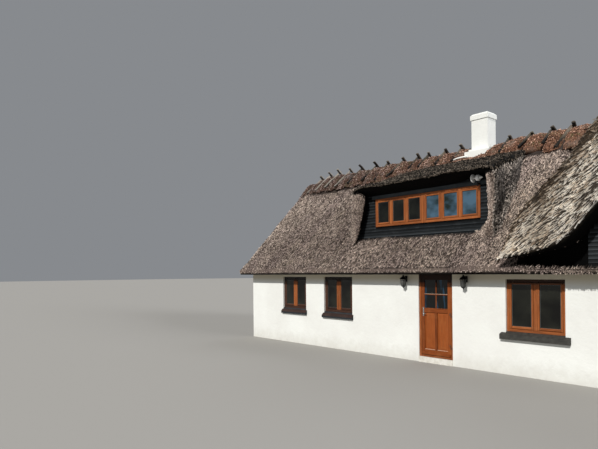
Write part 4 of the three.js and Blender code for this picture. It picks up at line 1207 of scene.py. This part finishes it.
def window(name, node, left, right, bottom, top, turn, middle, seed, lights=2, pane=None, sill=True,
           recess=FRAME_RECESS, sash_face=SASH_FACE):
    """A side-hung casement window; left and right are along the wall, seen from outside."""
    rng = np.random.default_rng(seed)
    wood, panes, spacer = Shape(), Shape(), Shape()
    edge = Shape() if sill else wood
    low, high = bottom + FRAME_FACE, top - FRAME_FACE
    bars_round([edge] * 4, (left, right, bottom, top), (left + FRAME_FACE, right - FRAME_FACE, low, high),
               recess, recess + FRAME_DEPTH, rng)
    width = (right - left - 2 * FRAME_FACE - (lights - 1) * MULLION) / lights
    for i in range(lights):
        x0 = left + FRAME_FACE + i * (width + MULLION)
        x1 = x0 + width
        if i:
            beam(wood, (x0 - MULLION, recess, low), (x0, recess + FRAME_DEPTH, high), 2, rng=rng)
        parts = (wood if i else edge, edge if i else wood, edge, edge)
        bars_round(parts, (x0 + SASH_GAP, x1 - SASH_GAP, low + SASH_GAP, high - SASH_GAP),
                   (x0 + sash_face, x1 - sash_face, low + sash_face + 0.012, high - sash_face),
                   recess - 0.006, recess + 0.05, rng, 0.012)
        pane_left, pane_right = x0 + sash_face - PANE_LAP, x1 - sash_face + PANE_LAP
        pane_low, pane_high = low + sash_face, high - sash_face + PANE_LAP
        beam(panes, (pane_left, recess + 0.014, pane_low), (pane_right, recess + 0.03, pane_high), 0, 0.001)
        add_spacer(spacer, (pane_left, pane_right, pane_low, pane_high), recess + 0.0125)
    if sill:
        add_sill(name, node, left, right, bottom, turn, middle, rng)
        put(edge, turn, middle).piece(name + "_frame", casing, "stained_wood", [node])
    for shape, key, surface, slot in (
            (wood, "joinery", stained, "stained_wood"), (panes, "panes", pane or glass, "glass"),
            (spacer, "spacers", steel_grey, "steel")):
        put(shape, turn, middle).piece(name + "_" + key, surface, slot, [node])


def add_sill(name, node, left, right, bottom, turn, middle, rng):
    """A sloping brown board over a black nose."""
    board, nose = Shape(), Shape()
    at_wall = bottom - FRAME_RECESS * (SILL_FALL / (FRAME_RECESS + SILL_OUT))
    low = bottom - SILL_FALL
    inside = [(-0.004, at_wall - 0.003), (-0.004, at_wall - 0.012), (FRAME_RECESS + 0.01, bottom - 0.012),
              (FRAME_RECESS + 0.01, bottom + 0.004), (FRAME_RECESS, bottom)]
    outside = [(-0.002, at_wall), (-0.002, at_wall - 0.016), (-SILL_OUT, low - 0.016), (-SILL_OUT, low)]
    for x0, x1, section in (
            (left + 0.002, right - 0.002, inside), (left - SILL_WIDE, right + SILL_WIDE, outside)):
        rings = np.array([[(x, y, z) for y, z in section] for x in np.linspace(x0, x1, 4)])
        loft(board, rings, rings[..., [1, 0, 2]] + rng.uniform(0, 40, 3), tint=rng.random())
    section = [(-0.002, at_wall - 0.016), (-0.002, low - SILL_LIP), (0.004 - SILL_OUT, low - SILL_LIP),
               (0.001 - SILL_OUT, low - SILL_LIP + 0.003), (0.001 - SILL_OUT, low - 0.016)]
    ends = np.linspace(left - SILL_WIDE + 0.001, right + SILL_WIDE - 0.001, 4)
    loft(nose, np.array([[(x, y, z) for y, z in section] for x in ends]), tint=0.2)
    beam(nose, (left + 0.002, 0.001, bottom - 0.058), (right - 0.002, FRAME_RECESS + 0.05, bottom - 0.013), 0,
         0.002)
    put(board, turn, middle).piece(name + "_sill_board", sill_wood, "stained_wood", [node])
    put(nose, turn, middle).piece(name + "_sill_nose", black_board, "black_boards", [node])


def add_spacer(shape, box, y):
    """The grey bar between the two sheets of a sealed pane."""
    edge, size, thin = 0.010, 0.007, 0.0016
    x0, x1, z0, z1 = (value + edge * way for value, way in zip(box, (1, -1, 1, -1)))
    for xa, za, xb, zb in ((x0, z0, x0 + size, z1), (x1 - size, z0, x1, z1), (x0, z1 - size, x1, z1),
                           (x0, z0, x1, z0 + size)):
        beam(shape, (xa, y, za), (xb, y + thin, zb), 0, 0.0005)


FRONT_WINDOWS = [
    ("window_1", -7.425, -6.337, 1.07, 2.025, True), ("window_2", -5.555, -4.433, 1.04, 2.03, True),
    ("window_3", -0.03, 1.175, 0.9, 1.99, False), ("window_4", 2.597, 3.803, 0.9, 1.99, False),
    ("window_5", 5.225, 6.43, 0.9, 1.99, False),
]


def build_windows():
    for seed, (name, left, right, bottom, top, sill) in enumerate(FRONT_WINDOWS, 200):
        window(name, name, left, right, bottom, top, 0, (0, -WALL_Y, 0), seed, sill=sill)
    lower, upper = (-0.55, 0.55, 1.04, 2.03), (-0.40, 0.40, 2.95, 3.80)
    for number in range(1, 5):
        name = "back_window_%d" % number
        low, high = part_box(name)
        window(name, name, *lower, math.pi, ((low.x + high.x) / 2, WALL_Y, 0), 210 + number)
    for number, (side, way) in enumerate((("left", -1), ("right", 1))):
        for key, opening, seed in (("lower", lower, 220), ("upper", upper, 230)):
            window(side + "_" + key, side + "_window_" + key, *opening, way * math.pi / 2,
                   (GABLE_WALL_X * way, 0, 0), seed + number)
    left, right, low, high = DORMER_FRAMES
    middle = (left + right) / 2
    # The right dormer's panes carry a painted sky reflection.
    for side, x0, x1, pane, seed in (("left", left, middle - 0.002, None, 240),
                                     ("right", middle + 0.002, right, sky_reflection_glass, 241)):
        window("dormer_" + side, "dormer_window_" + side, x0, x1, low, high, 0, (0, DORMER_FRAMES_Y, 0), seed,
               3, pane, False, 0.0, 0.036)
    window("gable_casements", "gable_window", *GABLE_OPENING, 0, (0, GABLE_FRAMES_Y, 0), 242, sill=False,
           recess=0.0)


# Front door

LEAF = (-2.1717, -1.3653, 0.1853, 2.0837)
LINING = (-2.2345, -1.3055, 0.1305, 2.1385)
HINGE_X = -1.3628
HINGE_Y = -3.086
HINGE_HEIGHTS = (0.42, 1.15, 1.85)
LEAF_FRONT = -3.07
STILE = 0.085
DOOR_GLASS = (1.28, 1.96)
DOOR_PANELS = (0.31, 1.19)
DOOR_MIDDLE = (LEAF[0] + LEAF[1]) / 2


def build_door():
    rng = np.random.default_rng(300)
    left, right, bottom, top = LEAF
    wood, lit, panes = Shape(), Shape(), Shape()
    front, back = LEAF_FRONT, LEAF_FRONT + 0.05
    inner_left, inner_right = left + STILE, right - STILE
    (panel_low, panel_high), (glass_low, glass_high) = DOOR_PANELS, DOOR_GLASS
    middle_z = 1.62
    muntin = 0.03
    panels = ((inner_left, DOOR_MIDDLE - muntin), (DOOR_MIDDLE + muntin, inner_right))
    for x0, x1, z0, z1, axis in (
            (left, inner_left, bottom, top, 2), (inner_right, right, bottom, top, 2),
            (inner_left, inner_right, glass_high, top, 0),
            (inner_left, inner_right, panel_high, glass_low, 0),
            (inner_left, inner_right, bottom, panel_low, 0),
            (DOOR_MIDDLE - muntin, DOOR_MIDDLE + muntin, panel_low, panel_high, 2)):
        beam(wood, (x0, front, z0), (x1, back, z1), axis, 0.003, rng)
    for x0, x1 in panels:
        add_panel(wood, x0, x1, panel_low, panel_high, rng)
    for x0, x1, y0, y1, z0, z1, axis, chamfer in (
            (inner_left, inner_right, 0.004, 0.046, middle_z - 0.014, middle_z + 0.014, 0, 0.008),
            (DOOR_MIDDLE - 0.014, DOOR_MIDDLE + 0.014, 0.004, 0.046, glass_low, glass_high, 2, 0.008),
            (inner_left, inner_right, -0.006, 0.01, glass_low - 0.012, glass_low + 0.016, 0, 0.008),
            (left + 0.02, right - 0.012, -0.028, 0.006, bottom + 0.004, bottom + 0.062, 0, 0.016)):
        beam(wood, (x0, front + y0, z0), (x1, front + y1, z1), axis, chamfer, rng)
    wood.piece("door_joinery", door_wood, "door_wood", ["door_leaf"], body="front_door")
    # Painted highlights: pale strips on the bead under the glass, on the middle bar and on the panels' lower
    # edges.
    for z in (glass_low + 0.016, middle_z + 0.014):
        beam(lit, (inner_left, front - 0.003, z - 0.006), (inner_right, front + 0.012, z), 0, 0.002)
    for x0, x1 in panels:
        beam(lit, (x0, front + 0.003, panel_low), (x1, front + 0.024, panel_low + 0.008), 0, 0.002)
    lit.piece("door_beads", bead_highlight, "door_wood", ["door_leaf"], body="front_door")
    beam(panes, (inner_left - 0.004, front + 0.022, glass_low - 0.004),
         (inner_right + 0.004, front + 0.028, glass_high + 0.004), 0, 0.001)
    panes.piece("door_panes", door_pane, "glass", ["door_glass"], body="front_door")
    build_lever()
    build_hinges()
    build_lining(rng)


def build_lining(rng):
    """The frame round the leaf, with a stop behind it."""
    lining = Shape()
    x0, x1, low, high = LINING
    side, rail = 0.055, 0.05
    for outer, way in ((x0, 1), (x1, -1)):
        inner = outer + way * side
        beam(lining, (outer, -3.075, low), (inner, -2.955, high), 2, rng=rng)
        beam(lining, (inner, -3.015, low + rail), (inner + way * 0.015, -2.956, high - rail), 2, rng=rng)
    for y0, y1, z0, z1 in (
            (-3.075, -2.955, high - rail, high), (-3.015, -2.956, high - rail - 0.015, high - rail),
            (-3.075, -2.955, low, low + rail)):
        beam(lining, (x0 + side, y0, z0), (x1 - side, y1, z1), 0, rng=rng)
    lining.piece("door_lining", stained, "stained_wood", ["door_frame"])


def add_panel(shape, x0, x1, z0, z1, rng):
    """A raised panel: a flat field with a sloping margin, seated in the stiles."""
    front, middle, margin = LEAF_FRONT + 0.010, LEAF_FRONT + 0.024, 0.045
    levels = [(-0.004, middle + 0.012), (0.0, middle), (0.006, middle), (margin, front + 0.003),
              (margin + 0.004, front)]
    rings = np.array([[(x0 + inset, y, z0 + inset), (x1 - inset, y, z0 + inset), (x1 - inset, y, z1 - inset),
                       (x0 + inset, y, z1 - inset)] for inset, y in levels])
    loft(shape, rings, rings[..., [0, 2, 1]] + rng.uniform(0, 40, 3), tint=rng.random())


def build_lever():
    x, z, face = -2.115, 1.205, LEAF_FRONT
    shape = Shape()
    beam(shape, (x - 0.018, face - 0.008, z - 0.105), (x + 0.018, face + 0.001, z + 0.105), 2, 0.004)
    path = [(0, -0.006, 0), (0, -0.03, 0), (0.004, -0.046, 0), (0.014, -0.053, 0), (0.05, -0.055, 0),
            (0.105, -0.054, -0.002)]
    tube(shape, smooth_line(np.array(path) + (x, face, z - 0.04), 18), 0.008, 10)
    lathe(shape, [(0, 0.0), (0.010, 0.0), (0.010, 0.006), (0.0, 0.007)], (x, face - 0.006, z + 0.055), 12,
          ((1, 0, 0), (0, 0, -1), (0, 1, 0)))
    shape.piece("door_lever", steel, "steel", ["door_handle"], body="front_door")


def build_hinges():
    """The three hinges' lower halves on the frame and upper halves on the leaf."""
    half, tip = 0.05, 0.006
    for name, node, body, way in (("hinge_frame_halves", "door_frame", "house", -1),
                                  ("hinge_leaves", "door_leaf", "front_door", 1)):
        shape = Shape()
        for z in HINGE_HEIGHTS:
            end, joint = z + way * half, z + way * 0.00015
            profile = [(0, end), (0.005, end), (0.008, end - way * tip), (0.008, joint), (0, joint)][::-way]
            lathe(shape, profile, (HINGE_X, HINGE_Y, 0), 14)
            back = LEAF_FRONT + (0.001 if way > 0 else -0.004)
            beam(shape, (HINGE_X, HINGE_Y + 0.002, joint), (HINGE_X - way * 0.038, back, end), 2, 0.0008)
        shape.piece(name, hinge_brown, "steel", [node], body=body)


# Black boards

BOARD_PITCH = 0.078


def lapped_boards(shape, x0, x1, z0, z1, y, hole, rng, left=None, right=None, bright=0.0):
    """Horizontal lapped boards in front of the plane y, cut off around a hole (x0, x1, z0, z1)."""
    rows = int(round((z1 - z0) / BOARD_PITCH))
    pitch = (z1 - z0) / rows
    for row in range(rows):
        low = z0 + row * pitch
        high = low + pitch
        start = left(low + pitch / 2) if left else x0
        end = right(low + pitch / 2) if right else x1
        spans = [(start, end)]
        if low < hole[3] - 0.01 and high > hole[2] + 0.01:
            spans = [(a, b) for a, b in ((start, hole[0]), (hole[1], end)) if b - a > 0.03]
        offset = rng.uniform(0, 40, 3)
        for a, b in spans:
            slope = rng.uniform(-0.001, 0.001)
            section = [(y + 0.018, low - 0.008), (y - 0.008 + slope, low - 0.010), (y - 0.002, low + 0.026),
                       (y + 0.008, high + 0.006), (y + 0.018, high + 0.006)]
            rings = np.array([[(x, sy, sz) for sy, sz in section] for x in np.linspace(a, b, 6)])
            rings[..., 1] += rng.normal(0, 0.0012, (6, 1))
            # Painted shade: each board darkens towards its top, under the lap above, and its hidden edges are
            # nearly black.
            tips = np.tile((-1.0, 0.0, -0.65, -0.97, -1.0), len(rings))
            loft(shape, rings, rings[..., [2, 0, 1]] + offset, rng.random() + bright, tips)


def build_boards():
    rng = np.random.default_rng(400)
    shape, gable = Shape(), Shape()
    reveal = np.array([back for outer, inner, back in DORMER_RIM[:6]])
    x0, x1, z0, z1 = DORMER_FRAMES
    lapped_boards(shape, -4.66, -0.40, 2.95, 4.36, -2.655, DORMER_FRAMES, rng,
                  left=lambda z: float(np.interp(z, reveal[:, 1], reveal[:, 0])) - 0.06)
    beam(shape, (x0 - 0.12, -2.685, z1 + 0.002), (-0.52, -2.65, z1 + 0.095), 0, 0.003, rng, 0.9)
    for xa, za, xb, zb in ((-4.3, 3.0, -0.45, z0 - 0.005), (-4.3, z1 + 0.005, -0.45, 4.36),
                           (-4.3, z0 - 0.005, x0, z1 + 0.005), (x1, z0 - 0.005, -0.45, z1 + 0.005)):
        beam(shape, (xa, -2.62, za), (xb, -2.54, zb), 0, 0.002, rng, 0.2)
    shape.piece("dormer_cladding", black_board, "black_boards", ["dormer_boards"])
    lapped_boards(gable, 1.6, 4.8, 2.15, 4.6, -3.105, GABLE_OPENING, rng, left=gable_left,
                  right=lambda z: 2 * HOOD_X - gable_left(z), bright=0.6)
    gable_back(gable)
    gable.piece("gable_cladding", black_board, "black_boards", ["gable_front"])


def gable_left(z):
    """Left edge of the gable's boards at a height: upright, then along the hood's underside."""
    below = under_line[under_line[:, 0] > 1.5]
    return min(HOOD_X, max(1.6, float(np.interp(z + 0.05, below[:, 1], below[:, 0]))))


def gable_back(shape):
    """The wall behind the boards and in the recess on both sides, painted nearly black as the recess's shade.
    """
    rings = []
    for x in np.linspace(0.42, 2 * HOOD_X - 0.42, 60):
        top = hood_under_height(x) + 0.02
        rings.append([(x, y, z) for y, z in ((-2.99, 2.145), (-2.99, top), (-2.97, top), (-2.97, 2.145))])
    loft(shape, np.array(rings), tint=0.0, tip=-1.0)


# Lamps

LANTERN_TOP = 2.085
SPOT_PLACE = (-0.83, -2.8, 4.26)


def build_lanterns():
    hood = [(0, -0.102), (0.080, -0.112), (0.089, -0.105), (0.078, -0.080), (0.058, -0.055), (0.030, -0.038),
            (0.018, -0.024), (0.020, -0.014), (0.012, -0.002), (0, 0)]
    foot = [(0, -0.328), (0.010, -0.322), (0.014, -0.305), (0.045, -0.28), (0.056, -0.272), (0.050, -0.262),
            (0, -0.262)]
    body = [(0, -0.266), (0.047, -0.266), (0.063, -0.118), (0, -0.118)]
    arm = [(0, -0.01, -0.115), (0, -0.05, -0.125), (0, -0.095, -0.095), (0, -0.117, -0.05)]
    bar = [(0.068, -0.115), (0.052, -0.27)]
    top, out = LANTERN_TOP, WALL_Y + 0.12
    for side, x in (("left", DOOR_MIDDLE - 0.8275), ("right", DOOR_MIDDLE + 0.8245)):
        metal, pane = Shape(), Shape()
        beam(metal, (x - 0.036, -WALL_Y - 0.014, top - 0.17), (x + 0.036, -WALL_Y, top - 0.03), 2)
        tube(metal, smooth_line(np.array(arm) + (x, -WALL_Y, top), 14), 0.008, 8)
        lathe(metal, hood, (x, -out, top), 20)
        for k in range(4):
            a = math.pi / 4 + k * math.pi / 2
            ends = [(x + r * math.cos(a), -out + r * math.sin(a), top + z) for r, z in bar]
            tube(metal, np.linspace(*ends, 3), 0.0045, 6)
        lathe(metal, foot, (x, -out, top), 16)
        metal.piece("lantern_%s_iron" % side, black_metal, "black_metal", ["wall_lantern_" + side])
        lathe(pane, body, (x, -out, top), 20)
        pane.piece("lantern_%s_glass" % side, lantern_glass, "glass", ["wall_lantern_" + side])


def build_spot():
    x, y, z = SPOT_PLACE
    white, black = Shape(), Shape()
    shell = [(0, -0.130), (0.014, -0.128), (0.038, -0.062), (0.066, -0.047), (0.070, -0.040), (0.070, 0.012),
             (0.060, 0.020), (0.016, 0.025), (0.016, 0.095), (0.090, 0.100), (0.095, 0.106), (0.095, 0.120),
             (0.090, 0.125), (0.078, 0.122), (0, 0.118)]
    lathe(white, shell, (x, y + 0.014, z), 24, ((0, 0, -1), (0, 1, 0), (1, 0, 0)))
    beam(black, (x - 0.02, y, z - 0.137), (x + 0.02, -2.651, z - 0.110), 1)
    beam(black, (x - 0.014, y, z - 0.185), (x + 0.014, y + 0.028, z - 0.05), 2)
    white.piece("spot_shell", white_enamel, "white_paint", ["dormer_lamp"])
    black.piece("spot_bracket", black_metal, "black_metal", ["dormer_lamp"])


# Stage

def build_stage():
    bpy.ops.mesh.primitive_circle_add(vertices=96, radius=160, fill_type="NGON", location=(0, 0, 0))
    floor = bpy.context.object
    floor.name = "studio_floor"
    paint = Paint("studio_floor", 0.95, specular=0.1)
    paint.colour((0.36, 0.35, 0.33))
    floor.data.materials.append(paint.material)
    world = bpy.data.worlds.new("studio")
    bpy.context.scene.world = world
    world.use_nodes = True
    background = world.node_tree.nodes["Background"]
    background.inputs["Color"].default_value = (0.90, 0.94, 1.0, 1.0)
    background.inputs["Strength"].default_value = 0.27


def add_sun(name, azimuth, elevation, strength, softness, colour):
    """A lamp from a compass side: azimuth 0 is the front, 90 the right."""
    data = bpy.data.lights.new(name, "SUN")
    data.energy = strength
    data.angle = math.radians(softness)
    data.color = colour
    sun = bpy.data.objects.new(name, data)
    bpy.context.scene.collection.objects.link(sun)
    a, e = math.radians(azimuth), math.radians(elevation)
    towards = Vector((math.sin(a) * math.cos(e), -math.cos(a) * math.cos(e), math.sin(e)))
    sun.rotation_euler = towards.to_track_quat("Z", "Y").to_euler()


def build_lights():
    add_sun("key", 15, 35, 3.25, 1.5, (1.0, 0.965, 0.92))
    add_sun("right_fill", 95, 18, 1.8, 20, (0.97, 0.98, 1.0))
    add_sun("back_fill", 190, 45, 0.5, 30, (0.92, 0.96, 1.0))


def build_camera():
    data = bpy.data.cameras.new("camera")
    data.sensor_width = 36
    data.lens = 36 * FOCAL_PIXELS / PHOTO_WIDTH
    data.shift_y = SHIFT_PIXELS / PHOTO_WIDTH
    data.clip_end = 1000
    camera = bpy.data.objects.new("camera", data)
    bpy.context.scene.collection.objects.link(camera)
    forward = np.array([
        -math.sin(CAMERA_YAW) * math.cos(CAMERA_PITCH), math.cos(CAMERA_YAW) * math.cos(CAMERA_PITCH),
        math.sin(CAMERA_PITCH)])
    right = np.array([math.cos(CAMERA_YAW), math.sin(CAMERA_YAW), 0])
    up = np.cross(right, forward)
    c, s = math.cos(CAMERA_ROLL), math.sin(CAMERA_ROLL)
    right, up = right * c + up * s, up * c - right * s
    rows = [[right[i], up[i], -forward[i], CAMERA_PLACE[i]] for i in range(3)]
    camera.matrix_world = Matrix(rows + [[0, 0, 0, 1]])
    bpy.context.scene.camera = camera


build_main_thatch()
build_skirt()
build_wide_dormer()
build_hood()
build_ridge()
build_mortar()
finish_masonry()
build_windows()
build_door()
build_boards()
build_lanterns()
build_spot()
build_stage()
build_lights()
build_camera()
bpy.context.scene.view_settings.view_transform = "Standard"
